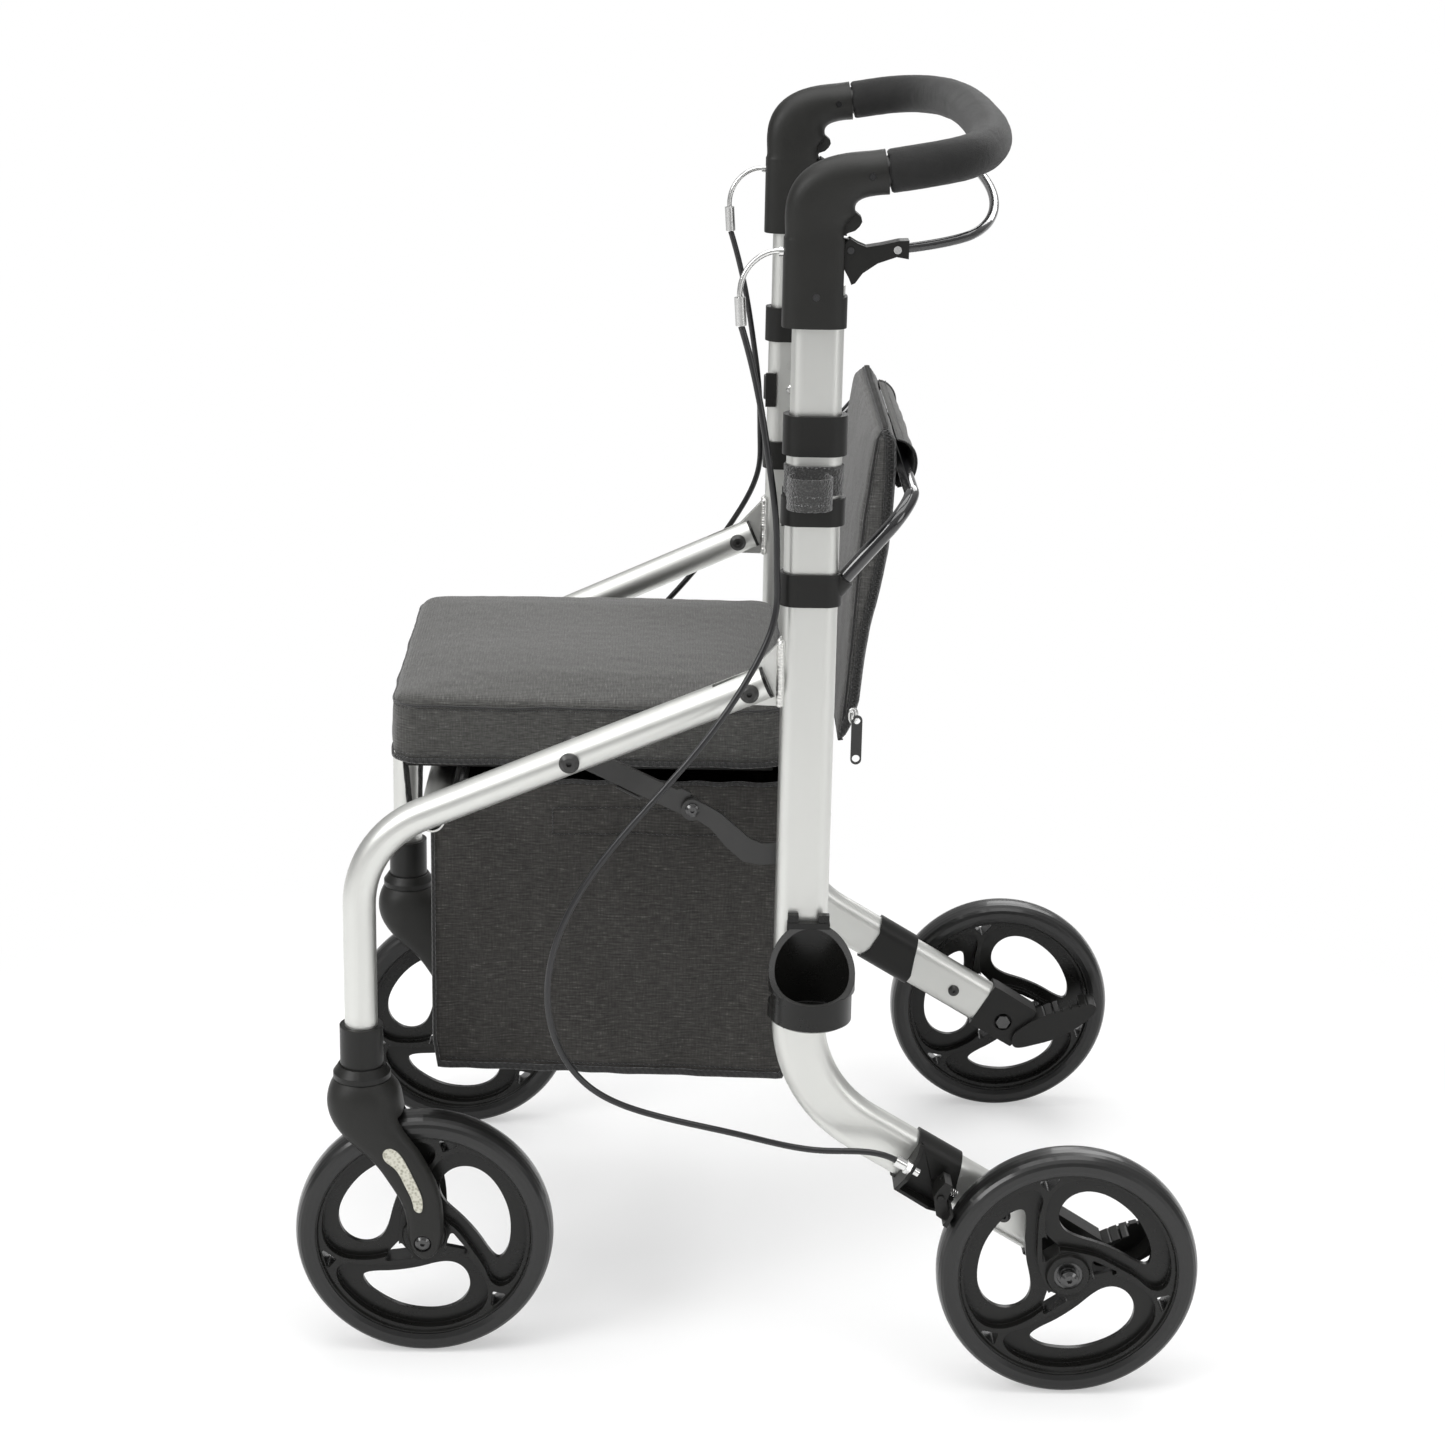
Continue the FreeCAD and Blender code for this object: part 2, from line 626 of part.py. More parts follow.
NOODLE_X = 232.0
GUIDE_X, GUIDE_Y = CABLE_GUIDE
CABLE_END_Y, CABLE_END_Z = on_run(-127.2)
CABLE = [  # x, y, z from the ferrule, through the clamp's guide, to the adjuster
    (NOODLE_X, 0.75, 815.2), (NOODLE_X + 3.5, 14.0, 766.0),
    (GUIDE_X - 1.6, 22.8, 717.0), (GUIDE_X - 0.4, 28.6, 672.0),
    (GUIDE_X, GUIDE_Y, 637.0), (GUIDE_X + 0.4, GUIDE_Y, 613.0),
    (251.0, 13.0, 567.0), (261.0, -30.0, 504.0), (266.0, -87.0, 435.0),
    (268.0, -123.0, 373.0), (268.0, -133.0, 325.0), (268.0, -127.0, 285.0),
    (266.5, -101.0, 246.0), (264.0, -55.0, 223.5), (261.5, 12.0, 206.5),
    (259.0, 76.0, 193.0),
    (ADJUSTER_X + 0.6, CABLE_END_Y - DOWN[0] * 14, CABLE_END_Z - DOWN[1] * 12.5),
    (ADJUSTER_X, CABLE_END_Y, CABLE_END_Z)]
save_pair("brake_cables", spline_pipe(CABLE, 2.4))


# ---------------------------------------------------------------- axles, screws
def bearing(x0, axle):
    """Ring with a shallow groove in each face."""
    x1 = x0 + BEARING_W
    ring = rod_x(BEARING_R, x0, x1, axle).cut(rod_x(AXLE_R, x0 - 1, x1 + 1, axle))
    for near, far in ((x0 - 1, x0 + 0.8), (x1 - 0.8, x1 + 1)):
        groove = rod_x(8.6, near, far, axle).cut(rod_x(6.2, near - 1, far + 1, axle))
        ring = ring.cut(groove)
    return ring


def bearings(wheel_x, axle):
    return [bearing(wheel_x + offset, axle) for offset in (-11.5, 4.5)]


def rear_axle_set():
    nut_x, head_x = BLOCK_X0 + 4.0, REAR_WHEEL_X + 17.5
    axle = rod_x(AXLE_R, nut_x, head_x, REAR_AXLE)
    axle = axle.fuse(bolt_head(head_x, REAR_AXLE, 1, 7.0, 3.6))
    axle = axle.fuse(prism_x(hexagon(6.6, *REAR_AXLE), nut_x - 5.5, nut_x))
    spacer = rod_x(6.5, BLOCK_X1, REAR_WHEEL_X - 12.2, REAR_AXLE).cut(
        rod_x(AXLE_R, UPR_X, REAR_WHEEL_X, REAR_AXLE))
    return [axle, spacer, *bearings(REAR_WHEEL_X, REAR_AXLE)]


save_pair("rear_axle_sets", *rear_axle_set())


def block_screw():
    screw = rod_x(2.9, UPR_X - 10.0, UPR_X + 10.0, BLOCK_SCREW)
    for side in (-1, 1):
        screw = screw.fuse(bolt_head(UPR_X + side * 10.0, BLOCK_SCREW, side, 5.0, 3.0))
    return screw


def lower_link_pin():
    x0, x1 = LOWER_LINK_X - LINK_T / 2, LOWER_LINK_X + LINK_T / 2
    pin = rod_x(PIN_R - PLAY, x0 - 0.4, UPR_X - 6.0, LOWER_PIN)
    for radius, start, end in ((7.0, x0 - 3.0, x0 - 0.3), (6.5, x1 + 0.3, UPR_X - 10.0),
                               (6.0, UPR_X - 8.5, UPR_X - 6.0)):
        pin = pin.fuse(rod_x(radius, start, end, LOWER_PIN))
    return pin


save("frame_screws", *both(block_screw()), *both(lower_link_pin()))


def shopping_bag():
    """Floor and four walls, open at the top under the seat."""
    outline = [(BAG_Y0 + 4, BAG_Z0), (BAG_Y1 - 2, BAG_Z0 - 7), (BAG_Y1, BAG_Z0 + 60),
               (BAG_Y1, BAG_Z1), (-204, BAG_Z1), (-206, 424), (BAG_Y0, 420),
               (BAG_Y0, BAG_Z0 + 20)]
    hollow = [(BAG_Y0 + 8, BAG_Z0 + 4), (BAG_Y1 - 6, BAG_Z0 - 3), (BAG_Y1 - 4, BAG_Z0 + 60),
              (BAG_Y1 - 4, BAG_Z1 + 5), (-200, BAG_Z1 + 5), (-202, 420), (BAG_Y0 + 4, 416),
              (BAG_Y0 + 4, BAG_Z0 + 20)]
    return prism_x(outline, -BAG_X, BAG_X).cut(
        prism_x(hollow, -BAG_X + BAG_WALL, BAG_X - BAG_WALL))


save("shopping_bag", shopping_bag())


# ---------------------------------------------------------------- front frame
def tube_x(y):
    """The front tubes splay out from the casters to the fold pivots."""
    return FRONT_LEG_X + (UPR_X - FRONT_LEG_X) * (y - CASTER_Y) / (FOLD_PIVOT[0] - CASTER_Y)


UP_TUBE = unit(UPPER_PIN, FOLD_PIVOT)       # up and back along the sloping tube
TAIL_Y, TAIL_Z = place(FOLD_PIVOT, UP_TUBE, [(13, 0)])[0]
CORNER_Z = FOLD_PIVOT[1] + UP_TUBE[1] / UP_TUBE[0] * (CASTER_Y - FOLD_PIVOT[0])
LEG_BOTTOM = 252.0
CASTER_AXIS = (FRONT_LEG_X, CASTER_Y)
FRONT_PATH = [(tube_x(TAIL_Y), TAIL_Y, TAIL_Z), (*CASTER_AXIS, CORNER_Z),
              (*CASTER_AXIS, LEG_BOTTOM)]
FRONT_TUBE = bent_pipe(FRONT_PATH, FRONT_TUBE_R, FRONT_BEND_R)
BRACKET_SLOT = prism_x(
    place(FOLD_PIVOT, UP_TUBE, [(30, -20), (30, 20), (-24, 20), (-24, -20)]),
    UPR_X - 2.8, UPR_X + 2.8)


def front_tube():
    tube = bent_pipe(FRONT_PATH, FRONT_TUBE_R, FRONT_BEND_R, FRONT_TUBE_R - FRONT_TUBE_WALL)
    tube = tube.cut(BRACKET_SLOT)
    tube = tube.cut(rod_x(PIN_R, UPR_X - 30, UPR_X + 30, FOLD_PIVOT))
    tube = tube.cut(rod_x(PIN_R, UPR_X - 40, UPR_X + 30, UPPER_PIN))
    return largest(tube)


front_tube_left = front_tube()
save_pair("front_tubes", front_tube_left)
save("front_cross_tube", cross_tube(FRONT_CROSS_R, 214, FRONT_CROSS, FRONT_TUBE,
                                    203.0, FRONT_CROSS_R - 0.5, 1.6))


def tube_end_plug(tube):
    """Half-moon end plugs either side of the bracket slot."""
    start, corner = FRONT_PATH[:2]
    end = (start[0] + (start[0] - corner[0]) * 0.008,
           TAIL_Y + UP_TUBE[0] * 2.4, TAIL_Z + UP_TUBE[1] * 2.4)
    return rod(FRONT_TUBE_R, start, end).cut(BRACKET_SLOT).cut(tube)


save_pair("tube_end_plugs", tube_end_plug(front_tube_left))

STEM_R, SOCKET_R, SOCKET_Z = 5.0, 16.5, 237.0


def caster_socket():
    """Socket with the stem bush inside the tube."""
    socket = rod_z(SOCKET_R, SOCKET_Z, 272.0, CASTER_AXIS)
    socket = socket.cut(rod_z(FRONT_TUBE_R, LEG_BOTTOM, 300.0, CASTER_AXIS))
    bush = rod_z(FRONT_TUBE_R - FRONT_TUBE_WALL, SOCKET_Z, 296.0, CASTER_AXIS)
    socket = socket.fuse(bush).cut(rod_z(STEM_R + PLAY, 230.0, 300.0, CASTER_AXIS))
    return socket.removeSplitter()


def bearing_cup():
    cup = rod_z(22.0, 229.5, 234.0, CASTER_AXIS).fuse(
        cone_z(22.0, 18.0, 234.0, 240.0, CASTER_AXIS))
    cup = cup.cut(rod_z(SOCKET_R, SOCKET_Z, 250.0, CASTER_AXIS))
    return cup.cut(rod_z(STEM_R + PLAY, 220.0, 250.0, CASTER_AXIS))


save_pair("caster_sockets", caster_socket())
save_pair("caster_bearing_cups", bearing_cup())


def fold_pivot_bolt():
    outer_x = tube_x(FOLD_PIVOT[0]) + FRONT_TUBE_R
    inner_x = tube_x(FOLD_PIVOT[0]) - FRONT_TUBE_R
    bolt = rod_x(PIN_R, inner_x - 1.5, outer_x + 1.0, FOLD_PIVOT)
    return bolt.fuse(bolt_head(outer_x + 0.6, FOLD_PIVOT, 1, 7.0, 4.0)).fuse(
        bolt_head(inner_x - 0.6, FOLD_PIVOT, -1, 7.0, 4.0))


def upper_link_bolt():
    """Bolt with an outer head, a spacer to the tube and an inner cap nut."""
    outer_x = tube_x(UPPER_PIN[0]) + FRONT_TUBE_R
    inner_x = tube_x(UPPER_PIN[0]) - FRONT_TUBE_R
    bolt = rod_x(PIN_R - PLAY, UPPER_LINK_X - 2.5, outer_x + 1.0, UPPER_PIN)
    bolt = bolt.fuse(bolt_head(outer_x + 0.4, UPPER_PIN, 1, 7.6, 4.4))
    spacer = rod_x(7.0, UPPER_LINK_X + LINK_T / 2 + 0.3, inner_x + 1.5, UPPER_PIN)
    cap = rod_x(7.5, 190.5, UPPER_LINK_X - LINK_T / 2 - 0.3, UPPER_PIN).fuse(
        cone_x(5.0, 7.5, 188.5, 190.5, UPPER_PIN))
    return largest(bolt.fuse(spacer.cut(FRONT_TUBE)).fuse(cap))


save_pair("fold_pivot_bolts", fold_pivot_bolt())
save_pair("upper_link_bolts", upper_link_bolt())


# ---------------------------------------------------------------- links
def upper_link():
    """Round-ended bar with a stop at the rivet end and a small wire hook below."""
    x0, x1 = UPPER_LINK_X - LINK_T / 2, UPPER_LINK_X + LINK_T / 2
    along = unit(UPPER_PIN, LINK_RIVET)
    length, half = math.dist(UPPER_PIN, LINK_RIVET), LINK_W / 2
    link = prism_x(place(UPPER_PIN, along,
                         [(0, half), (length, half), (length, -half), (0, -half)]), x0, x1)
    link = link.fuse(rod_x(half, x0, x1, UPPER_PIN)).fuse(rod_x(half, x0, x1, LINK_RIVET))
    stop = place(LINK_RIVET, along,
                 [(-17, 7.5), (-14, 10.2), (-6, 10.2), (-4, 6), (-10, 4)])
    link = link.fuse(prism_x(stop, x0, x1))
    link = link.cut(rod_x(PIN_R, x0 - 2, x1 + 2, UPPER_PIN))
    corner, tip, root = [(UPPER_LINK_X, *p) for p in place(
        LINK_RIVET, along, [(-38, -10.6), (-58, -10.0), (-38, -5.6)])]
    hook = rod(1.3, corner, tip).fuse(rod(1.3, corner, root))
    return largest(link.fuse(hook).removeSplitter())


save_pair("upper_links", upper_link())

LOWER_LINK = [  # y, z: back along the top edge, forward along the bottom edge
    (LINK_RIVET[0], LINK_RIVET[1] + 8.2), (-17.5, 452.0), (-6, 445.0), (4, 436.0),
    (15, 426.3), (25, 422.0), (40, 423.0), (LOWER_PIN[0], LOWER_PIN[1] + 8.5),
    (LOWER_PIN[0], LOWER_PIN[1] - 8.5), (40, 406.3), (24, 405.0), (11, 407.5),
    (-2, 419.0), (-14, 433.5), (-24, 440.0), (LINK_RIVET[0] - 4, LINK_RIVET[1] - 7.2)]


def lower_link():
    x0, x1 = LOWER_LINK_X - LINK_T / 2, LOWER_LINK_X + LINK_T / 2
    link = prism_x(LOWER_LINK, x0, x1)
    link = link.fuse(rod_x(8.3, x0, x1, LINK_RIVET)).fuse(rod_x(9.5, x0, x1, LOWER_PIN))
    link = link.cut(rod_x(PIN_R, x0 - 2, x1 + 2, LOWER_PIN))
    link = link.cut(rod_x(RIVET_R, x0 - 2, x1 + 2, LINK_RIVET))
    return link.removeSplitter()


def link_rivet():
    x0, x1 = LOWER_LINK_X - LINK_T / 2, LOWER_LINK_X + LINK_T / 2
    return rod_x(RIVET_R, x0, x1, LINK_RIVET).fuse(bolt_head(x1, LINK_RIVET, 1, 5.2, 2.6))


save_pair("lower_links", lower_link())
save_pair("link_rivets", link_rivet())


# ---------------------------------------------------------------- seat
def seat_cushion():
    seat = box(-SEAT_X, SEAT_X, SEAT_Y0, SEAT_Y1, SEAT_Z0, SEAT_Z1)
    seat = seat.makeFillet(20.0, edges_along(seat, "z"))
    top_edges = [e for e in seat.Edges if e.BoundBox.ZMin > SEAT_Z1 - 0.1]
    return seat.makeFillet(9.0, top_edges)


def seat_board():
    """Board with two tongues reaching back over the rear cross tube."""
    board = box(-SEAT_X + 12, SEAT_X - 12, SEAT_Y0 + 12, SEAT_Y1 - 10, BOARD_Z0, SEAT_Z0)
    for x in (-105, 105):
        board = board.fuse(box(x - 14, x + 14, SEAT_Y1 - 12, REAR_CROSS[0] + 6,
                               BOARD_Z0, SEAT_Z0 - 1))
    return board.removeSplitter()


def seat_hinge(x):
    """Saddle around the front cross tube."""
    y, z = FRONT_CROSS
    hinge = box(x - 20, x + 20, y - 14, y + 14, z, BOARD_Z0)
    hinge = hinge.fuse(rod_x(14, x - 20, x + 20, FRONT_CROSS))
    hinge = hinge.cut(rod_x(FRONT_CROSS_R + PLAY, x - 25, x + 25, FRONT_CROSS))
    return hinge.removeSplitter()


save("seat_cushion", seat_cushion())
save("seat_board", seat_board())
save("seat_hinges", *map(seat_hinge, (-24, 24)))

PULL_STRAP = [  # y, z: round the outside of the loop, then back round the inside
    (-252.0, 457.0), (-250.5, 440.0), (-249.0, 420.0), (-247.5, 404.0), (-243.0, 399.5),
    (-238.5, 404.0), (-238.0, 420.0), (-237.6, 440.0), (-237.4, 457.0),
    (-239.4, 457.0), (-239.6, 440.0), (-240.0, 420.0), (-240.6, 406.0), (-243.0, 402.4),
    (-245.4, 406.0), (-247.0, 420.0), (-248.5, 440.0), (-250.0, 457.0)]
save("seat_pull_strap", prism_x(PULL_STRAP, 96.0, 120.0))


# ---------------------------------------------------------------- handlebar
def stem_tube():
    stem = leg_oval(STEM_DEPTH, STEM_WIDTH, STEM_BOTTOM, STEM_TOP)
    stem = stem.cut(leg_oval(STEM_DEPTH - 2 * STEM_WALL, STEM_WIDTH - 2 * STEM_WALL,
                             STEM_BOTTOM - 1, STEM_TOP + 1))
    stem = stem.cut(rod_x(BUTTON_HOLE_R, UPR_X - 20, UPR_X, (UPR_Y, BUTTON_Z)))
    return stem.cut(rod_x(BOLT_HOLE_R, UPR_X - 20, UPR_X + 20, STEM_BOLT))


save_pair("stem_tubes", stem_tube())


def bow(half, y0, y_bend, reach, exponent, height, radius, bore=None):
    """U-shaped loop: two straight legs and a rounded rear end, seen from above.
    height gives z for a y."""
    leg = [y0 + (y_bend - y0) * k / 3 for k in range(3)]
    plan = [(half, y) for y in leg]
    for k in range(25):
        t = math.pi * k / 24
        plan.append((half * power(math.cos(t), exponent),
                     y_bend + reach * power(math.sin(t), exponent)))
    plan += [(-half, y) for y in reversed(leg)]
    return spline_pipe([(x, y, height(y)) for x, y in plan], radius, bore)


def grip_z(y):
    return GRIP_Z0 + 0.19 * (y - 100) - 0.0655 * (y - 100) ** 2 / 100


def bar_z(y):
    return BAR_Z0 + 0.056 * (y - 100) + 0.205 * (y - 100) ** 2 / 100


def grip_loop(y0, radius, bore=None):
    return bow(GRIP_X, y0, 112.0, 74.0, 2.88, grip_z, radius, bore)


ELBOW_FOOT = (52, 816, 0, 23, 14.5, 3.2, 230.0)
ELBOW_SECTIONS = [  # y, z, turn towards the rear, half depth, half width, exponent, x
    (52, 878, 0, 23, 14.5, 3.2, 230.0), (52.4, 893, 4, 23, 14.7, 3.0, 231.0),
    (60.5, 911, 38, 23.2, 15.4, 2.6, 233.0), (72, 920.0, 68, 18.0, 15.6, 2.2, 234.8),
    (85, 923.9, 82.3, 15.8, 15.8, 2.0, 236.2), (99.5, 925.9, 82.3, 15.8, 15.8, 2.0, 237.0)]
LUG = [  # y, z
    (60, 899.5), (71.7, 900.6), (78, 898), (82.5, 894.2), (83.2, 891), (81.5, 887.8),
    (78.5, 884.8), (72.9, 882.8), (60, 879)]
TONGUE = [(60, 879), (74, 878.5), (80, 876), (82.5, 871), (80, 866), (74, 863), (60, 862)]


def elbow_section(y, z, turn, half_depth, half_width, exponent, x):
    a = math.radians(turn)
    return superellipse((x, y, z), (0, math.cos(a), -math.sin(a)),
                        half_depth, half_width, exponent)


def handle_elbow():
    elbow = Part.Face(elbow_section(*ELBOW_FOOT)).extrude(V(0, 0, 62.0))
    elbow = elbow.fuse(Part.makeLoft([elbow_section(*s) for s in ELBOW_SECTIONS], True, False))
    elbow = elbow.fuse(prism_x(LUG, LEVER_X - 6.5, LEVER_X + 6.5))
    # room for the lever, around a tongue on its pivot
    elbow = elbow.cut(box(LEVER_X - 9, LEVER_X + 9, 66.0, 84, 845.4, 882.2))
    elbow = elbow.cut(box(200, 260, 71.5, 84, 838.0, 879.0))
    elbow = elbow.fuse(prism_x(TONGUE, LEVER_X - 3.2, LEVER_X + 3.2))
    elbow = elbow.cut(leg_oval(STEM_DEPTH, STEM_WIDTH, 800.0, STEM_TOP))
    elbow = elbow.cut(rod_x(BOLT_HOLE_R, 200, 260, STEM_BOLT))
    elbow = elbow.cut(rod_x(LEVER_PIVOT_R, LEVER_X - 12, LEVER_X + 12, LEVER_PIVOT))
    elbow = elbow.cut(rod(1.3, (NOODLE_X, 20, 868.5), (NOODLE_X, 72, 868.5)))
    elbow = largest(largest(elbow).cut(grip_loop(74.0, CORE_R)))
    return elbow.cut(grip_bolt_hole())


def grip_bolt_hole():
    return rod_x(BOLT_HOLE_R, GRIP_X - 20, GRIP_X + 20, GRIP_BOLT)


def grip_core():
    core = grip_loop(80.0, CORE_R, CORE_R - CORE_WALL)
    for hole in both(grip_bolt_hole()):
        core = core.cut(hole)
    return core


def foam_grip():
    """Foam over the core, cut off square to the grip behind the elbows."""
    foam = grip_loop(80.0, FOAM_R).cut(grip_loop(80.0, CORE_R))
    cutter = box(-350, 350, -60, 0, -50, 50)
    cutter.rotate(V(0, 0, 0), V(1, 0, 0), GRIP_TILT)
    cutter.translate(V(0, 100.6, GRIP_Z0))
    return largest(foam.cut(cutter))


elbow_left = handle_elbow()
save_pair("handle_elbows", elbow_left)
save("grip_core", grip_core())
save("foam_grip", foam_grip())


def elbow_bolt(at, x0, x1, inner_head_x):
    bolt = rod_x(2.5, x0, x1, at).fuse(bolt_head(x1 + 0.2, at, 1, 6.6, 2.8)).fuse(
        bolt_head(inner_head_x, at, -1, 6.0, 2.6))
    return largest(bolt.cut(elbow_left))


save_pair("elbow_bolts",
          elbow_bolt(STEM_BOLT, 216.0, 244.0, 214.4),
          elbow_bolt(GRIP_BOLT, 222.5, 252.0, 220.8),
          rod_x(LEVER_PIVOT_R - PLAY, LEVER_X - 7.5, LEVER_X + 7.5, LEVER_PIVOT))

NOODLE = [  # y, z
    (29.3, 868.5), (24.0, 868.8), (17.0, 867.0), (8.0, 860.8), (1.5, 851.0), (-0.6, 843.0),
    (-0.8, 836.0)]


def cable_noodle():
    """Curved cable lead out of the elbow's front, ending in a ferrule."""
    noodle = spline_pipe([(NOODLE_X, y, z) for y, z in NOODLE], 2.0)
    ferrule = rod(4.0, (NOODLE_X, *NOODLE[-1]), (NOODLE_X, 0.6, 816.0)).cut(
        rod(2.45, (NOODLE_X, 0.6, 812.0), (NOODLE_X, 0.2, 822.0)))
    collar = rod(3.2, (NOODLE_X, 29.0, 868.5), (NOODLE_X, 26.0, 868.6))
    return largest(noodle.fuse(ferrule).fuse(collar).cut(elbow_left))


save_pair("cable_noodles", cable_noodle())


def snap_button():
    """Button inside the stem, showing on the inner face."""
    at = (UPR_Y, BUTTON_Z)
    return rod_x(4.0, UPR_X - 12.5, UPR_X - 6.4, at).fuse(
        cone_x(2.8, 4.0, UPR_X - 13.6, UPR_X - 12.5, at)).fuse(
        rod_x(6.0, UPR_X - 6.8, UPR_X - 4.8, at))


save_sides("snap_button", snap_button())

# ---------------------------------------------------------------- brake lever
LEVER = [  # y, z
    (71.4, 876), (75.3, 879.3), (80.5, 876.2), (86.9, 873.6), (96.9, 875.3), (110, 878.3),
    (116.5, 878.6), (116.5, 865.6), (108, 867.0), (94.8, 862.3), (84.5, 855.2),
    (79.5, 848.2), (76.8, 847.0), (75.0, 851.5), (71.6, 857.5), (70.6, 866)]
LEVER_FORK = [(60, 890), (86.5, 890), (86.5, 840), (60, 840)]    # y, z
LEVER_X0, LEVER_X1 = LEVER_X - 7.0, LEVER_X + 7.0
LEVER_RIVET = (108.5, 872.0)
RIVET_SHANK = rod_x(1.6, LEVER_X0, LEVER_X1, LEVER_RIVET)


def lever_arm(bar):
    """Lever, forked at the front, with the bar let into its rear end."""
    lever = prism_x(LEVER, LEVER_X0, LEVER_X1)
    lever = lever.cut(prism_x(LEVER_FORK, LEVER_X - 3.6, LEVER_X + 3.6))
    lever = lever.cut(rod_x(LEVER_PIVOT_R, LEVER_X - 9, LEVER_X + 9, LEVER_PIVOT))
    return largest(lever.cut(bar).cut(RIVET_SHANK))


def drilled_bar(bar):
    for shank in both(RIVET_SHANK):
        bar = bar.cut(shank)
    return largest(bar)


def lever_rivet():
    return RIVET_SHANK.fuse(rod_x(2.8, LEVER_X1, LEVER_X1 + 0.9, LEVER_RIVET)).fuse(
        rod_x(2.8, LEVER_X0 - 0.9, LEVER_X0, LEVER_RIVET))


bar_blank = bow(LEVER_X, 100.0, 152.0, 38.5, 2.3, bar_z, BAR_R)
save_pair("lever_arms", lever_arm(bar_blank))
save("brake_ring_bar", drilled_bar(bar_blank))
save_pair("lever_rivets", lever_rivet())

# ---------------------------------------------------------------- casters
FORK = [  # z, y front, y rear, half width, exponent
    (229.0, -298.5, -255.0, 21.0, 2.2), (222.0, -302.0, -249.5, 24.5, 2.3),
    (212.0, -303.8, -246.5, 26.5, 2.6), (201.0, -301.5, -245.0, 27.0, 3.0),
    (190.0, -294.5, -240.5, 27.0, 3.6), (178.0, -282.5, -232.5, 26.8, 4.0),
    (165.0, -268.5, -225.5, 26.4, 4.4), (150.0, -257.5, -219.0, 26.2, 5.0),
    (132.0, -247.5, -214.6, 26.0, 5.0), (114.0, -243.0, -213.6, 26.0, 5.0),
    (98.0, -241.5, -215.0, 25.8, 5.0), (89.5, -237.5, -219.0, 25.2, 4.0),
    (86.5, -233.5, -223.0, 24.4, 3.0)]
REFLECTOR = [  # y, z
    (-259.5, 175.5), (-257.5, 179.6), (-253.0, 180.6), (-248.5, 178.0), (-240.8, 165.8),
    (-233.0, 148.0), (-229.6, 131.5), (-231.3, 127.3), (-234.6, 128.2), (-237.0, 134.5),
    (-242.8, 149.5), (-251.3, 164.8)]
FORK_GAP, FORK_SEAT = 18.4, 23.2        # from the wheel's middle: inner face, bolt seat


def caster_fork():
    x = FRONT_WHEEL_X
    sections = [superellipse((x, (front + rear) / 2, z), (0, 1, 0),
                             (rear - front) / 2, half_width, exponent, 32)
                for z, front, rear, half_width, exponent in reversed(FORK)]
    fork = Part.makeLoft(sections, True, False)
    for radius, x0, x1 in ((WHEEL_R + 4.0, x - FORK_GAP, x + FORK_GAP),
                           (AXLE_R, x - 40, x + 40),
                           (6.8, x + FORK_SEAT, x + 40),
                           (6.8, x - 40, x - FORK_SEAT)):
        fork = fork.cut(rod_x(radius, x0, x1, FRONT_AXLE))
    return largest(fork.cut(rod_z(STEM_R, 215.0, 240.0, (x, CASTER_Y))))


def caster_reflector(fork):
    """Curved strip let into the fork's outer face."""
    strip = prism_x(REFLECTOR, FRONT_WHEEL_X + 23.0, FRONT_WHEEL_X + 27.3, smooth=True)
    return largest(strip.cut(fork))


def caster_axle_set():
    x = FRONT_WHEEL_X
    stem = rod_z(STEM_R, 215.0, 292.0, (x, CASTER_Y))
    axle = rod_x(AXLE_R, x - FORK_SEAT, x + FORK_SEAT, FRONT_AXLE)
    axle = axle.fuse(bolt_head(x + FORK_SEAT, FRONT_AXLE, 1, 6.4, 3.4))
    nut = prism_x(hexagon(6.4, *FRONT_AXLE), x - FORK_SEAT - 4.4, x - FORK_SEAT)
    spacers = [rod_x(6.0, x + x0, x + x1, FRONT_AXLE).cut(
                   rod_x(AXLE_R, x - 30, x + 30, FRONT_AXLE))
               for x0, x1 in ((-FORK_GAP, -12.2), (12.2, FORK_GAP))]
    return [stem, axle.fuse(nut), *bearings(x, FRONT_AXLE), *spacers]


fork_left = caster_fork()
save_sides("caster_fork", fork_left)
save_sides("caster_reflector", caster_reflector(fork_left))
save_sides("caster_axle_set", *caster_axle_set())

# ---------------------------------------------------------------- wheels
HUB_BORE_R = 11.06
# Openings in the rim, radius and angle in degrees: a recess in each face, a
# through hole inside it, and small triangles by the rim and by the hub.
RECESS = [
    (24.5, -1), (31.5, 0.5), (42, -3), (53.2, -8.5), (64, -14), (72, -20), (77.5, -28),
    (79.6, -40), (79.8, -58), (79.2, -78), (79.2, -98), (79.0, -114), (78.0, -123),
    (73.5, -129.5), (66, -130.5), (58, -126.5), (51.0, -121.5), (42, -114.5), (34, -104),
    (26.5, -86), (20.8, -62), (19.2, -38), (20.6, -16)]
WINDOW = [
    (36.3, -22), (48.8, -20.5), (60.0, -28), (66.4, -38), (68.6, -50), (68.2, -64),
    (67.4, -81), (66.4, -97), (65.2, -108), (61.5, -114.5), (54.8, -112.5), (44.7, -102),
    (35.5, -85), (30.3, -66), (28.6, -48), (30.6, -32)]
RIM_TRIANGLE = [(81.3, -144.0), (71.6, -135.2), (81.3, -131.2)]
HUB_TRIANGLE = [(19.5, -133), (21.5, -84), (40.5, -117.5)]
RIM_PROFILE = [  # x, radius
    (-12.5, 83.0), (-12.5, 89.5), (-11.0, RIM_R), (11.0, RIM_R), (12.5, 89.5), (12.5, 83.0),
    (10.0, 81.8), (10.0, 22.0), (9.0, 17.2), (12.0, 15.8), (12.0, HUB_BORE_R),
    (-12.0, HUB_BORE_R), (-12.0, 15.8), (-9.0, 17.2), (-10.0, 22.0), (-10.0, 81.8)]
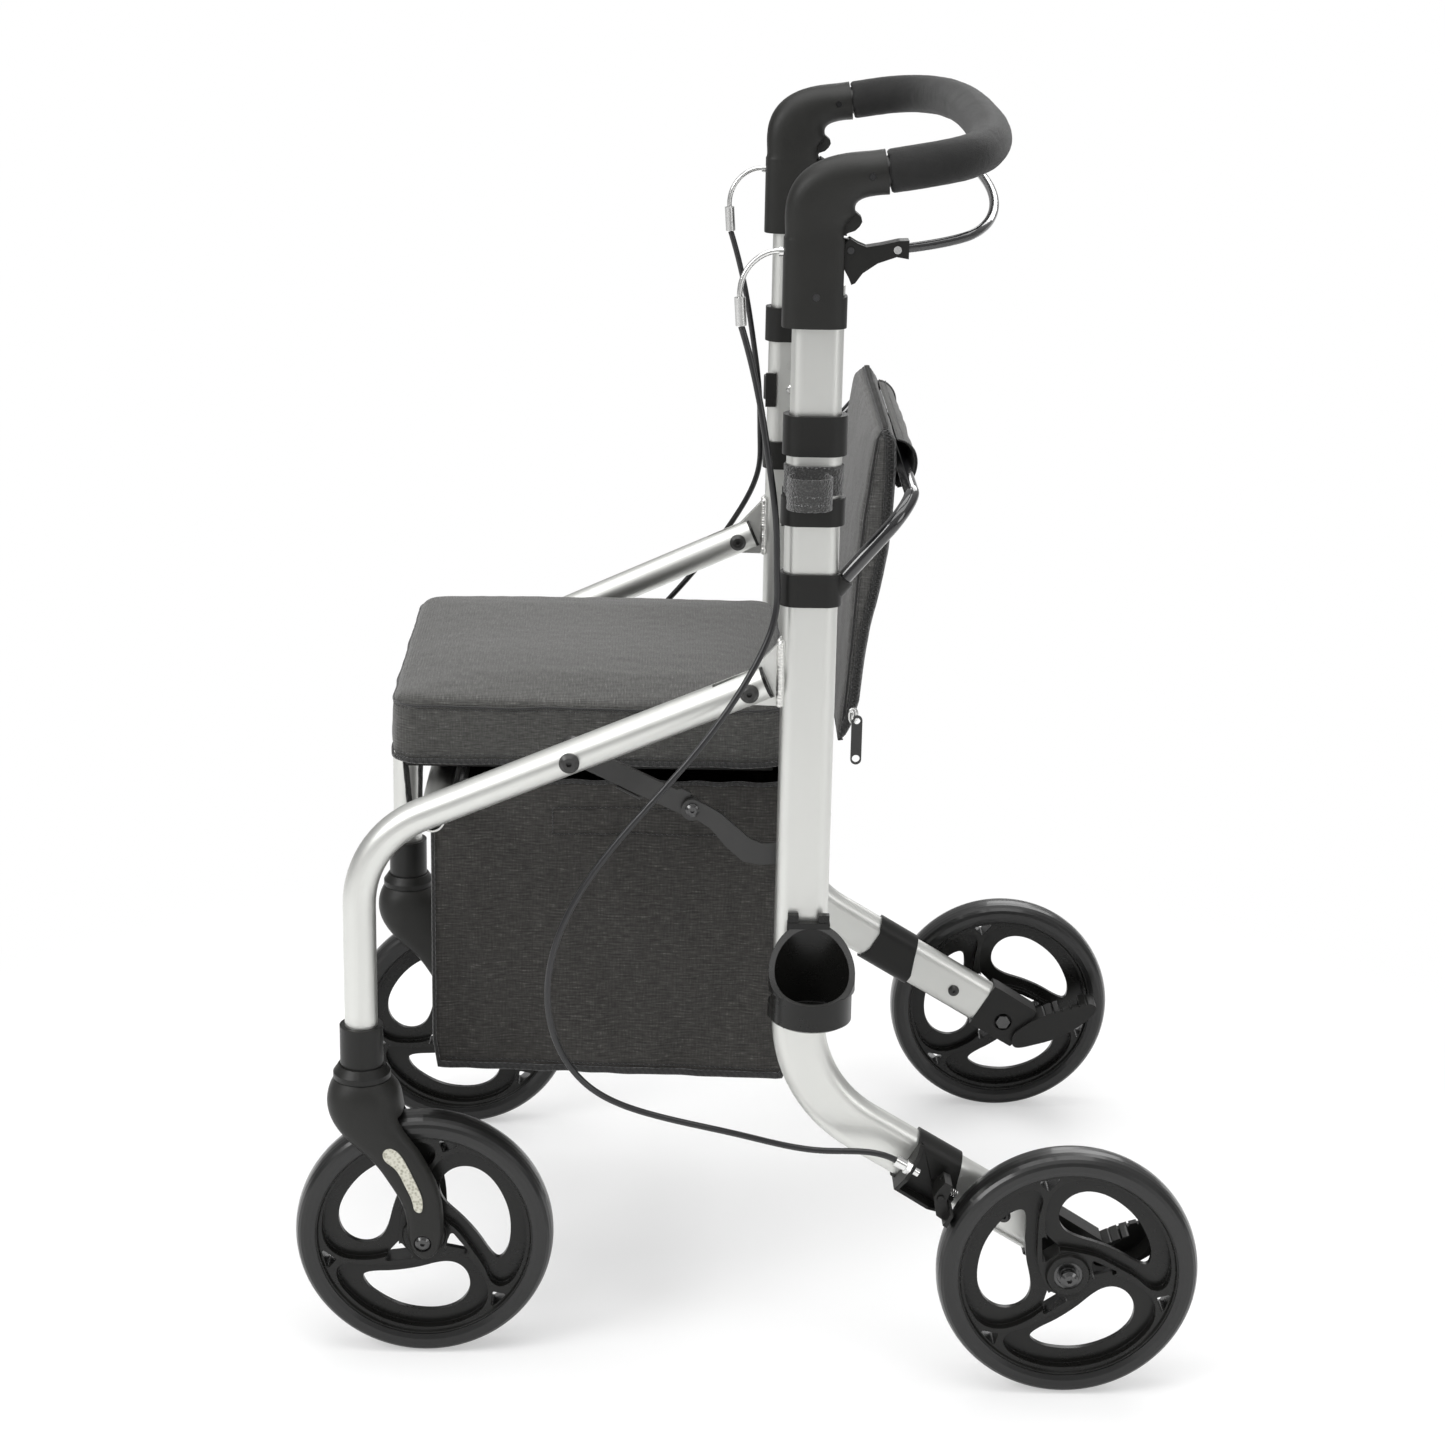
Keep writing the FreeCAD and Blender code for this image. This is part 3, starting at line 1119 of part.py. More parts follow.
TYRE_PROFILE = [  # x, radius
    (-13.4, 84.2), (-14.6, 88.0), (-15.0, 92.5), (-14.4, 95.2), (-12.4, 97.3), (-9.0, 98.9),
    (-5.0, 99.7), (0.0, WHEEL_R), (5.0, 99.7), (9.0, 98.9), (12.4, 97.3), (14.4, 95.2),
    (15.0, 92.5), (14.6, 88.0), (13.4, 84.2), (12.5, 84.2), (12.5, 89.5), (11.0, RIM_R),
    (-11.0, RIM_R), (-12.5, 89.5), (-12.5, 84.2)]


def polar(points, axle, turn):
    """(radius, degrees) points about an axle, as (y, z)."""
    return [(axle[0] + r * math.cos(math.radians(a + turn)),
             axle[1] + r * math.sin(math.radians(a + turn))) for r, a in points]


def rounded_prism(outline, x0, x1, radius):
    solid = prism_x(outline, x0, x1)
    # guards against a corner fillet that cannot be made: corners then stay sharp
    try:
        return solid.makeFillet(radius, edges_along(solid, "x"))
    except Exception:
        return solid


def rim(x, axle, phase):
    solid = revolve_x(RIM_PROFILE, x, axle)
    for k in range(3):
        turn = 120.0 * k + phase
        recess = polar(RECESS, axle, turn)
        for x0, x1 in ((2.4, 14.0), (-14.0, -2.4)):
            solid = solid.cut(prism_x(recess, x + x0, x + x1, smooth=True))
        solid = solid.cut(prism_x(polar(WINDOW, axle, turn), x - 14, x + 14, smooth=True))
        for triangle, radius in ((RIM_TRIANGLE, 1.2), (HUB_TRIANGLE, 1.8)):
            solid = solid.cut(
                rounded_prism(polar(triangle, axle, turn), x - 14, x + 14, radius))
    # web between the two bearings
    web = rod_x(HUB_BORE_R, x - 4.2, x + 4.2, axle).cut(rod_x(4.3, x - 5, x + 5, axle))
    return largest(solid.fuse(web).removeSplitter())


def moved(shape, dx, dy):
    copy = shape.copy()
    copy.translate(V(dx, dy, 0))
    return copy


tyre = revolve_x(TYRE_PROFILE, REAR_WHEEL_X, REAR_AXLE)
for end, wheel_x, axle, phase in (("rear", REAR_WHEEL_X, REAR_AXLE, 0.0),
                                  ("front", FRONT_WHEEL_X, FRONT_AXLE, -27.0)):
    left_rim = rim(wheel_x, axle, phase)
    # the right wheels are shifted copies, so their openings are not mirrored
    for side, x in (("left", wheel_x), ("right", -wheel_x)):
        save("%s_rim_%s" % (end, side), moved(left_rim, x - wheel_x, 0))
        save("%s_tyre_%s" % (end, side),
             moved(tyre, x - REAR_WHEEL_X, axle[0] - REAR_AXLE[0]))
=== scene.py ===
"""A four-wheeled walking frame with a seat, a backrest pad and a shopping bag.

Metres, +Z up, standing on the floor at z = 0. The bag's and the backrest's front faces
look along -Y, and pieces named left lie at +X.
"""
import math
import random

import bpy
import numpy as np
from mathutils import Matrix, Vector, noise
from mathutils.bvhtree import BVHTree


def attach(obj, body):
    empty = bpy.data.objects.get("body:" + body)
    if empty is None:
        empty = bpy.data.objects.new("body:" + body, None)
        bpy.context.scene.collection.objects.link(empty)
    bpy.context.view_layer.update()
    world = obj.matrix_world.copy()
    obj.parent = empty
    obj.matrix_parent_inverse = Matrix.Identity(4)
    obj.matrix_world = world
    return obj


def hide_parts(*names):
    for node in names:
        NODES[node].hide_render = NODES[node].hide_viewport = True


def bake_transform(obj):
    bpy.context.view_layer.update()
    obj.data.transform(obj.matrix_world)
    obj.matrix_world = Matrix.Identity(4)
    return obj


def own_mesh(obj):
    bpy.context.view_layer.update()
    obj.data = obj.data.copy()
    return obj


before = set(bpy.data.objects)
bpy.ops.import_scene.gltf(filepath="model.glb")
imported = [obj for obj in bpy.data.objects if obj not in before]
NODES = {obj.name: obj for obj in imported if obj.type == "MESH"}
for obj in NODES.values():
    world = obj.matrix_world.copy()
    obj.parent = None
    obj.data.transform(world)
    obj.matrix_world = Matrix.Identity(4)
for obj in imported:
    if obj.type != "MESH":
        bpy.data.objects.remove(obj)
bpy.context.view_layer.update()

SCENE = bpy.context.scene
SIDES = (("left", 1), ("right", -1))    # name and sign of x
random.seed(7)


# ------------------------------------------------------------------ material nodes
def grey(value):
    return (value, value, value)


class Shader:
    """Builds one node material. Most methods add a node and return its output."""

    INPUTS = {
        "color": "Base Color", "rough": "Roughness", "metal": "Metallic", "normal": "Normal",
        "coat": "Coat Weight", "coat_rough": "Coat Roughness", "sheen": "Sheen Weight",
        "sheen_rough": "Sheen Roughness", "spec": "Specular IOR Level",
    }

    def __init__(self, name):
        self.material = bpy.data.materials.new(name)
        self.material.use_nodes = True
        self.tree = self.material.node_tree
        self.principled = self.tree.nodes["Principled BSDF"]
        self.places = self.node("ShaderNodeTexCoord").outputs

    def node(self, kind, **settings):
        node = self.tree.nodes.new(kind)
        for key, value in settings.items():
            setattr(node, key, value)
        return node

    def feed(self, socket, value):
        """Links an output to the socket, or sets its colour or number."""
        if hasattr(value, "is_output"):
            self.tree.links.new(value, socket)
        elif isinstance(value, tuple):
            socket.default_value = (*value, 1.0)
        else:
            socket.default_value = value

    def coords(self, source="Object", scale=(1, 1, 1), rot=(0, 0, 0)):
        node = self.node("ShaderNodeMapping")
        self.feed(node.inputs["Vector"], self.places[source])
        node.inputs["Scale"].default_value = scale
        node.inputs["Rotation"].default_value = rot
        return node.outputs["Vector"]

    def texture(self, kind, vec, **settings):
        """A texture node on the given coordinates, or on object coordinates."""
        node = self.node(kind, **settings)
        self.feed(node.inputs["Vector"], vec or self.places["Object"])
        return node

    def noise(self, scale, detail=3.0, rough=0.5, vec=None):
        node = self.texture("ShaderNodeTexNoise", vec)
        node.inputs["Scale"].default_value = scale
        node.inputs["Detail"].default_value = detail
        node.inputs["Roughness"].default_value = rough
        return node.outputs["Fac"]

    def wave(self, scale, direction, vec=None):
        node = self.texture("ShaderNodeTexWave", vec, wave_type="BANDS",
                            bands_direction=direction)
        node.inputs["Scale"].default_value = scale
        node.inputs["Detail"].default_value = 1.0
        return node.outputs["Fac"]

    def cells(self, scale):
        node = self.texture("ShaderNodeTexVoronoi", None, feature="F1")
        node.inputs["Scale"].default_value = scale
        return node.outputs["Distance"]

    def ramp(self, fac, stops):
        node = self.node("ShaderNodeValToRGB")
        self.feed(node.inputs["Fac"], fac)
        elements = node.color_ramp.elements
        while len(elements) < len(stops):
            elements.new(0.5)
        for i, (position, color) in enumerate(stops):
            elements[i].position = position
            elements[i].color = (*color, 1.0)
        return node.outputs["Color"]

    def math(self, operation, a, b):
        node = self.node("ShaderNodeMath", operation=operation)
        self.feed(node.inputs[0], a)
        self.feed(node.inputs[1], b)
        return node.outputs[0]

    def add(self, a, b):
        return self.math("ADD", a, b)

    def times(self, a, b):
        return self.math("MULTIPLY", a, b)

    def mix(self, fac, a, b):
        node = self.node("ShaderNodeMix", data_type="RGBA")
        for index, value in ((0, fac), (6, a), (7, b)):    # 6 and 7 are the colour inputs
            self.feed(node.inputs[index], value)
        return node.outputs[2]

    def remap(self, value, low, high, start=0.0, end=1.0, interpolation="LINEAR"):
        """Carries start..end to low..high."""
        node = self.node("ShaderNodeMapRange", interpolation_type=interpolation)
        for index, number in enumerate((value, start, end, low, high)):
            self.feed(node.inputs[index], number)
        return node.outputs[0]

    def bump(self, height, strength, dist=0.001, normal=None):
        node = self.node("ShaderNodeBump")
        self.feed(node.inputs["Height"], height)
        node.inputs["Strength"].default_value = strength
        node.inputs["Distance"].default_value = dist
        if normal is not None:
            self.feed(node.inputs["Normal"], normal)
        return node.outputs["Normal"]

    def bevel(self, radius):
        node = self.node("ShaderNodeBevel", samples=4)
        node.inputs["Radius"].default_value = radius
        return node.outputs["Normal"]

    def finish(self, **values):
        for key, value in values.items():
            self.feed(self.principled.inputs[self.INPUTS[key]], value)
        return self.material


# ------------------------------------------------------------------ materials
def mat_aluminium():
    """Satin anodised tube: fine streaks along the tube, a few soft smudges."""
    s = Shader("satin_aluminium")
    streak = s.noise(scale=260.0, detail=4.0, rough=0.6, vec=s.coords(scale=(1.0, 1.0, 0.12)))
    fine = s.noise(scale=2600.0, detail=2.0, vec=s.coords(scale=(1.0, 1.0, 0.3)))
    smudge = s.noise(scale=9.0, detail=4.0, rough=0.6)
    color = s.mix(s.remap(smudge, low=0.0, high=0.35), (0.64, 0.645, 0.62), (0.58, 0.58, 0.56))
    color = s.mix(s.remap(streak, low=0.0, high=0.2), color, (0.70, 0.70, 0.685))
    rough = s.add(s.remap(streak, low=0.34, high=0.44), s.remap(smudge, low=-0.02, high=0.05))
    normal = s.bump(s.add(streak, s.times(fine, 0.7)), strength=0.05, dist=0.0003,
                    normal=s.bevel(0.0006))
    return s.finish(color=color, rough=rough, metal=0.93, normal=normal)


def mat_weld():
    s = Shader("weld_bead")
    blotch = s.noise(scale=700.0, detail=5.0, rough=0.65)
    color = s.ramp(blotch, [(0.2, (0.62, 0.61, 0.58)), (0.7, (0.86, 0.86, 0.84))])
    normal = s.bump(blotch, strength=0.25, dist=0.0004)
    return s.finish(color=color, rough=s.remap(blotch, low=0.34, high=0.5), metal=1.0,
                    normal=normal)


def mat_plastic(name, tone=0.0065, rough=0.40, grain=1500.0, strength=0.25):
    """Injection-moulded nylon: fine spark grain, faint handling marks, softened edges."""
    s = Shader(name)
    spark = s.noise(scale=grain, rough=0.6)
    wear = s.noise(scale=30.0, detail=5.0, rough=0.65)
    marks = s.noise(scale=120.0, detail=6.0, rough=0.7,
                    vec=s.coords(scale=(1.0, 0.2, 1.0), rot=(0.4, 0.2, 0.7)))
    color = s.mix(s.remap(wear, low=0.0, high=0.8), (tone, tone, tone * 0.93),
                  (tone * 1.7, tone * 1.68, tone * 1.5))
    scratch = s.times(s.remap(marks, low=-0.1, high=0.1), 0.35)
    roughness = s.add(s.remap(wear, low=rough - 0.06, high=rough + 0.08), scratch)
    normal = s.bump(spark, strength=strength, dist=0.0003, normal=s.bevel(0.0008))
    return s.finish(color=color, rough=roughness, spec=0.30, normal=normal)


def mat_gloss_black(name, coat, smoothest, roughest):
    """Gloss black with a slight orange-peel surface and dust."""
    s = Shader(name)
    peel = s.noise(scale=420.0, detail=2.0)
    dust = s.noise(scale=60.0, detail=6.0, rough=0.7)
    color = s.mix(s.remap(dust, low=0.0, high=0.5), (0.010, 0.010, 0.011), (0.020, 0.020, 0.021))
    normal = s.bump(peel, strength=0.02, dist=0.0003)
    return s.finish(color=color, rough=s.remap(dust, low=smoothest, high=roughest), coat=coat,
                    coat_rough=0.05, normal=normal)


def mat_satin_black():
    """Powder-coated link bars and blackened bolts; on the aluminium grip core, painted shade for
    its gap.
    """
    s = Shader("satin_black_steel")
    grain = s.noise(scale=1100.0, rough=0.6)
    wear = s.noise(scale=45.0, detail=5.0, rough=0.7)
    color = s.mix(s.remap(wear, low=0.0, high=0.7), grey(0.012), (0.032, 0.031, 0.028))
    normal = s.bump(grain, strength=0.22, dist=0.0003, normal=s.bevel(0.0006))
    return s.finish(color=color, rough=s.remap(wear, low=0.26, high=0.46), spec=0.55,
                    normal=normal)


def mat_steel():
    s = Shader("bright_steel")
    streak = s.noise(scale=900.0, detail=4.0, rough=0.6, vec=s.coords(scale=(0.15, 1.0, 1.0)))
    blotch = s.noise(scale=80.0, detail=4.0, rough=0.6)
    color = s.mix(s.remap(blotch, low=0.0, high=0.6), (0.74, 0.74, 0.73), (0.58, 0.58, 0.57))
    normal = s.bump(streak, strength=0.05, dist=0.0002)
    return s.finish(color=color, rough=s.remap(blotch, low=0.18, high=0.34), metal=1.0,
                    normal=normal)


def mat_dark_steel():
    """Blackened, slightly oily bolts and axle ends."""
    s = Shader("dark_steel")
    grain = s.noise(scale=700.0, detail=4.0, rough=0.6)
    blotch = s.noise(scale=60.0, detail=4.0, rough=0.6)
    color = s.mix(s.remap(blotch, low=0.0, high=0.6), grey(0.10), grey(0.045))
    normal = s.bump(grain, strength=0.12, dist=0.0003, normal=s.bevel(0.0005))
    return s.finish(color=color, rough=s.remap(blotch, low=0.16, high=0.3), metal=0.9,
                    normal=normal)


def mat_rubber():
    """Tyre: dark polyurethane, slightly glossy and dusty."""
    s = Shader("tyre_rubber")
    grain = s.noise(scale=800.0, rough=0.55)
    dust = s.noise(scale=35.0, detail=6.0, rough=0.7)
    color = s.mix(s.remap(dust, low=0.0, high=0.6), grey(0.005), (0.012, 0.012, 0.0115))
    normal = s.bump(grain, strength=0.12, dist=0.0003, normal=s.bevel(0.0008))
    return s.finish(color=color, rough=s.remap(dust, low=0.26, high=0.42), spec=0.35, coat=0.30,
                    coat_rough=0.10, normal=normal)


def mat_foam():
    """Closed-cell foam: skin of tiny pores and soft unevenness."""
    s = Shader("foam")
    cells = s.cells(scale=900.0)
    soft = s.noise(scale=70.0, detail=4.0, rough=0.6)
    pores = s.noise(scale=1900.0, rough=0.6)
    color = s.mix(s.remap(soft, low=0.1, high=0.9), grey(0.009), (0.020, 0.020, 0.0195))
    height = s.add(s.times(cells, 0.7), s.add(pores, s.times(soft, 1.5)))
    return s.finish(color=color, rough=0.85, sheen=0.15, sheen_rough=0.4, spec=0.3,
                    normal=s.bump(height, strength=0.45, dist=0.0006))


def mat_fabric(name, dark, light, fleck, pitch=0.0011):
    """Heather polyester: plain weave on UVs in metres, yarns of mixed tone."""
    s = Shader(name)
    density = 1.0 / pitch
    wave_density = density * 0.157    # one crest every two pitches

    def yarn(across, along):
        return s.noise(scale=1.0, detail=2.0, rough=0.6,
                       vec=s.coords("UV", scale=(across, along, 1)))

    warp = s.wave(1.0, "X", s.coords("UV", scale=(wave_density, 1, 1)))
    weft = s.wave(1.0, "Y", s.coords("UV", scale=(1, wave_density, 1)))
    check = s.add(s.times(warp, 0.5), s.times(weft, 0.5))
    heather = s.add(s.times(yarn(density * 0.13, density), 0.68),
                    s.times(yarn(density, density * 0.16), 0.32))
    cloud = s.noise(scale=14.0, detail=4.0, rough=0.6)
    middle = tuple((a + b) / 2 for a, b in zip(dark, light))
    color = s.ramp(heather, [(0.36, dark), (0.5, middle), (0.60, light), (0.72, fleck)])
    color = s.mix(s.remap(check, low=0.0, high=0.28), color, dark)
    color = s.mix(s.remap(cloud, low=0.0, high=0.25), color, light)
    fuzz = s.noise(scale=2600.0, detail=2.0, rough=0.6)
    height = s.add(check, s.add(s.times(heather, 0.8), s.times(fuzz, 0.4)))
    return s.finish(color=color, rough=0.88, sheen=0.25, sheen_rough=0.5, spec=0.2,
                    normal=s.bump(height, strength=0.55, dist=0.0005))


def mat_webbing(name, tone):
    s = Shader(name)
    rib = s.wave(1.0, "DIAGONAL", s.coords("UV", scale=(130, 130, 1)))
    cross = s.wave(1.0, "X", s.coords("UV", scale=(210, 1, 1)))
    fuzz = s.noise(scale=1500.0, rough=0.6)
    color = s.mix(s.times(rib, fuzz), grey(tone), (tone * 3.2, tone * 3.2, tone * 3.1))
    height = s.add(s.add(rib, cross), fuzz)
    return s.finish(color=color, rough=0.72, sheen=0.3, sheen_rough=0.4,
                    normal=s.bump(height, strength=0.6, dist=0.0006))


def mat_velcro():
    s = Shader("velcro_loop")
    cells = s.cells(scale=650.0)
    fuzz = s.noise(scale=900.0, detail=4.0, rough=0.7)
    color = s.ramp(s.times(cells, fuzz),
                   [(0.02, grey(0.012)), (0.3, (0.025, 0.025, 0.024)), (0.5, (0.07, 0.07, 0.068))])
    return s.finish(color=color, rough=0.8, sheen=0.5,
                    normal=s.bump(s.add(cells, fuzz), strength=0.9, dist=0.001))


def mat_thread(name, tone):
    s = Shader(name)
    twist = s.wave(900.0, "DIAGONAL")
    fuzz = s.noise(scale=2200.0, detail=2.0)
    color = s.mix(s.times(twist, fuzz), grey(tone * 0.6), grey(tone * 1.4))
    return s.finish(color=color, rough=0.7, sheen=0.3,
                    normal=s.bump(twist, strength=0.5, dist=0.0004))


def mat_reflector():
    """Micro-prism reflector sheet under a clear lens."""
    s = Shader("reflector")
    prisms = s.cells(scale=420.0)
    grain = s.noise(scale=600.0, detail=4.0, rough=0.7)
    color = s.ramp(s.times(prisms, s.add(grain, 0.5)),
                   [(0.05, (0.27, 0.262, 0.20)), (0.35, (0.40, 0.39, 0.32)),
                    (0.6, (0.56, 0.55, 0.47))])
    normal = s.bump(prisms, strength=0.5, dist=0.0006, normal=s.bevel(0.0006))
    return s.finish(color=color, rough=s.remap(grain, low=0.2, high=0.45), metal=0.25, coat=0.4,
                    coat_rough=0.12, normal=normal)


def mat_floor():
    """White paper that keeps its shadows near the middle and runs out to plain white."""
    s = Shader("paper_floor")
    grain = s.noise(scale=40.0, detail=5.0, rough=0.6)
    color = s.mix(s.remap(grain, low=0.0, high=0.5), grey(0.95), grey(0.92))
    s.finish(color=color, rough=s.remap(grain, low=0.55, high=0.65), spec=0.1,
             normal=s.bump(grain, strength=0.02, dist=0.001))
    radius = s.node("ShaderNodeVectorMath", operation="LENGTH")
    s.feed(radius.inputs[0], s.places["Object"])
    whiteness = s.remap(radius.outputs["Value"], low=0.45, high=1.0, start=0.35, end=0.95,
                        interpolation="SMOOTHSTEP")
    glow = s.node("ShaderNodeEmission")
    s.feed(glow.inputs["Color"], grey(1.0))
    s.feed(glow.inputs["Strength"], 1.0)
    # only the camera sees the glow, so it lights nothing
    seen = s.times(whiteness, s.node("ShaderNodeLightPath").outputs["Is Camera Ray"])
    blend = s.node("ShaderNodeMixShader")
    s.feed(blend.inputs[0], seen)
    s.feed(blend.inputs[1], s.principled.outputs[0])
    s.feed(blend.inputs[2], glow.outputs[0])
    s.feed(s.tree.nodes["Material Output"].inputs[0], blend.outputs[0])
    return s.material


ALU = mat_aluminium()
WELD = mat_weld()
PLASTIC = mat_plastic("black_plastic")
PLASTIC_GLOSS = mat_plastic("black_plastic_glossier", tone=0.006, rough=0.27, grain=900.0,
                            strength=0.10)
PLASTIC_MATT = mat_plastic("black_plastic_matt", tone=0.010, rough=0.46, grain=1200.0,
                           strength=0.35)
GLOSS = mat_gloss_black("gloss_black_steel", coat=0.7, smoothest=0.08, roughest=0.16)
SATIN = mat_satin_black()
STEEL = mat_steel()
DARK_STEEL = mat_dark_steel()
RUBBER = mat_rubber()
FOAM = mat_foam()
FABRIC = mat_fabric("charcoal_fabric", dark=(0.028, 0.0275, 0.026),
                    light=(0.086, 0.085, 0.080), fleck=(0.19, 0.188, 0.178))
FABRIC_LIGHT = mat_fabric("charcoal_fabric_face", dark=(0.032, 0.031, 0.030),
                          light=(0.095, 0.094, 0.090), fleck=(0.20, 0.198, 0.19))
FABRIC_BAG = mat_fabric("charcoal_fabric_bag", dark=(0.016, 0.0152, 0.014),
                        light=(0.052, 0.0495, 0.046), fleck=(0.13, 0.125, 0.116), pitch=0.0013)
WEB = mat_webbing("black_webbing", tone=0.014)
BIND = mat_webbing("black_binding", tone=0.010)
VELCRO = mat_velcro()
THREAD = mat_thread("charcoal_thread", tone=0.03)
THREAD_DARK = mat_thread("black_thread", tone=0.008)
FRAY = mat_thread("frayed_thread", tone=0.45)
REFLECT = mat_reflector()
CABLE = mat_gloss_black("cable_sheath", coat=0.0, smoothest=0.24, roughest=0.36)

# material and the CAD pieces that wear it; the rest are fabric
LOOKS = (
    (ALU, "upright_tubes stem_tubes front_tubes fold_brackets rear_cross_tube front_cross_tube"),
    (PLASTIC, "upper_collars stick_clips hoop_clamps axle_blocks brake_housings caster_sockets "
     "caster_bearing_cups seat_board seat_hinges lever_arms brake_arm_left brake_arm_right"),
    (PLASTIC_GLOSS, "stick_cup tube_end_plugs front_rim_left front_rim_right rear_rim_left "
     "rear_rim_right"),
    (PLASTIC_MATT, "handle_elbows caster_fork_left caster_fork_right"),
    (GLOSS, "backrest_hoop brake_ring_bar elbow_bolts"),
    # grip_core is aluminium; its satin black is painted shade in the gap between the elbow and the
    # foam grip
    (SATIN, "upper_links lower_links fold_pivot_bolts upper_link_bolts frame_screws zip_pull "
     "grip_core"),
    (STEEL, "brake_cable_fittings cable_noodles lever_rivets snap_button_left snap_button_right"),
    (DARK_STEEL, "rear_axle_sets caster_axle_set_left caster_axle_set_right link_rivets"),
    (RUBBER, "front_tyre_left front_tyre_right rear_tyre_left rear_tyre_right"),
    (REFLECT, "caster_reflector_left caster_reflector_right"),
    (CABLE, "brake_cables"),
)


def dress_cad_pieces():
    look = {name: material for material, names in LOOKS for name in names.split()}
    for name, obj in NODES.items():
        obj.data.materials.clear()
        obj.data.materials.append(look.get(name, FABRIC))


# ------------------------------------------------------------------ mesh tools
def vectors_of(vertices, attribute):
    flat = np.empty(len(vertices) * 3, np.float64)
    vertices.foreach_get(attribute, flat)
    return flat.reshape(-1, 3)


def verts_of(obj):
    return vectors_of(obj.data.vertices, "co")


def put_verts(obj, positions):
    obj.data.vertices.foreach_set("co", positions.astype(np.float32).ravel())
    obj.data.update()


def smooth_all(obj):
    obj.data.polygons.foreach_set("use_smooth", [True] * len(obj.data.polygons))


def add(name, verts, faces, material):
    mesh = bpy.data.meshes.new(name)
    mesh.from_pydata([tuple(v) for v in verts], [], faces)
    mesh.validate()
    mesh.update()
    obj = bpy.data.objects.new(name, mesh)
    smooth_all(obj)
    SCENE.collection.objects.link(obj)
    mesh.materials.append(material)
    return obj


def bake(obj):
    """Applies the object's modifiers."""
    bpy.context.view_layer.update()
    depsgraph = bpy.context.evaluated_depsgraph_get()
    mesh = bpy.data.meshes.new_from_object(obj.evaluated_get(depsgraph), depsgraph=depsgraph)
    old = obj.data
    obj.modifiers.clear()
    obj.data = mesh
    mesh.name = obj.name
    if old.users == 0:
        bpy.data.meshes.remove(old)


def modify(obj, kind, **settings):
    """Adds one modifier and applies it at once."""
    modifier = obj.modifiers.new(kind.lower(), kind)
    for key, value in settings.items():
        setattr(modifier, key, value)
    bake(obj)


def subdivide(obj):
    modify(obj, "SUBSURF", levels=1, render_levels=1)
    smooth_all(obj)


def copy_node(node, name, material):
    """A fresh mesh at a CAD node's place, joined at its seams."""
    mesh = NODES[node].data.copy()
    obj = bpy.data.objects.new(name, mesh)
    SCENE.collection.objects.link(obj)
    mesh.materials.clear()
    mesh.materials.append(material)
    mesh.name = name
    if mesh.has_custom_normals:
        bpy.context.view_layer.objects.active = obj
        with bpy.context.temp_override(object=obj, active_object=obj):
            bpy.ops.mesh.customdata_custom_splitnormals_clear()
    modify(obj, "WELD", merge_threshold=1e-5)
    return obj


def box_uv(obj):
    """Box-projected coordinates in metres, for woven materials."""
    mesh = obj.data
    layer = mesh.uv_layers.get("uv") or mesh.uv_layers.new(name="uv")
    mesh.uv_layers.active = layer
    corner_verts = np.empty(len(mesh.loops), np.int32)
    mesh.loops.foreach_get("vertex_index", corner_verts)
    corner_counts = np.empty(len(mesh.polygons), np.int32)
    mesh.polygons.foreach_get("loop_total", corner_counts)
    facing = np.argmax(np.abs(vectors_of(mesh.polygons, "normal")), 1)
    axis = np.repeat(facing, corner_counts)[:, None]
    at = verts_of(obj)[corner_verts]
    uv = np.where(axis == 0, at[:, [1, 2]], np.where(axis == 1, at[:, [0, 2]], at[:, [0, 1]]))
    layer.data.foreach_set("uv", uv.astype(np.float32).ravel())


def displace(obj, distance):
    """Moves every vertex along its normal by distance(positions) metres."""
    at = verts_of(obj)
    normals = vectors_of(obj.data.vertices, "normal")
    put_verts(obj, at + normals * distance(at)[:, None])


def relief(at, scale, seed):
    """Noise at each position."""
    shift = Vector((seed, seed * 1.7, -seed))
    return np.array([noise.noise(Vector(p) * scale + shift) for p in at])


def wobble(x, y, z):
    """Noise at one place."""
    return noise.noise(Vector((x, y, z)))


def place(obj, part, replaces=None):
    if replaces:
        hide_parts(replaces)
    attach(obj, part)


CLOTH_FRAMES = 20
CLOTH = dict(
    quality=6, mass=0.25, tension_stiffness=18, compression_stiffness=12, shear_stiffness=8,
    bending_stiffness=0.35, tension_damping=8, air_damping=3, use_pressure=True,
    uniform_pressure_force=4.0,
)


def inflate(obj, cap, pin_weights):
    """Cloth simulation under pressure, held where pinned, with movement up to cap metres."""
    rest = verts_of(obj)
    group = obj.vertex_groups.new(name="pin")
    weights = pin_weights(rest)
    for i in np.nonzero(weights > 0.01)[0]:
        group.add([int(i)], float(min(1.0, weights[i])), "REPLACE")
    modifier = obj.modifiers.new("cloth", "CLOTH")
    for key, value in CLOTH.items():
        setattr(modifier.settings, key, value)
    modifier.settings.vertex_group_mass = "pin"
    modifier.settings.effector_weights.gravity = 0.0
    modifier.collision_settings.use_collision = False
    modifier.point_cache.frame_start = 1
    modifier.point_cache.frame_end = CLOTH_FRAMES
    SCENE.frame_start = 1
    SCENE.frame_end = CLOTH_FRAMES
    for i in range(1, CLOTH_FRAMES + 1):
        SCENE.frame_set(i)
    bake(obj)
    SCENE.frame_set(1)
    move = verts_of(obj) - rest
    length = np.linalg.norm(move, axis=1)
    share = np.where(length > cap, cap / np.maximum(length, 1e-9), 1.0)
    put_verts(obj, rest + move * share[:, None])
    obj.vertex_groups.clear()


def cushion(node, name, material, voxel, cap, pin_weights):
    """A stuffed cover made from a CAD node."""
    obj = copy_node(node, name, material)
    modify(obj, "REMESH", mode="VOXEL", voxel_size=voxel)
    modify(obj, "SMOOTH", factor=0.5, iterations=2)
    inflate(obj, cap, pin_weights)
    subdivide(obj)
    return obj


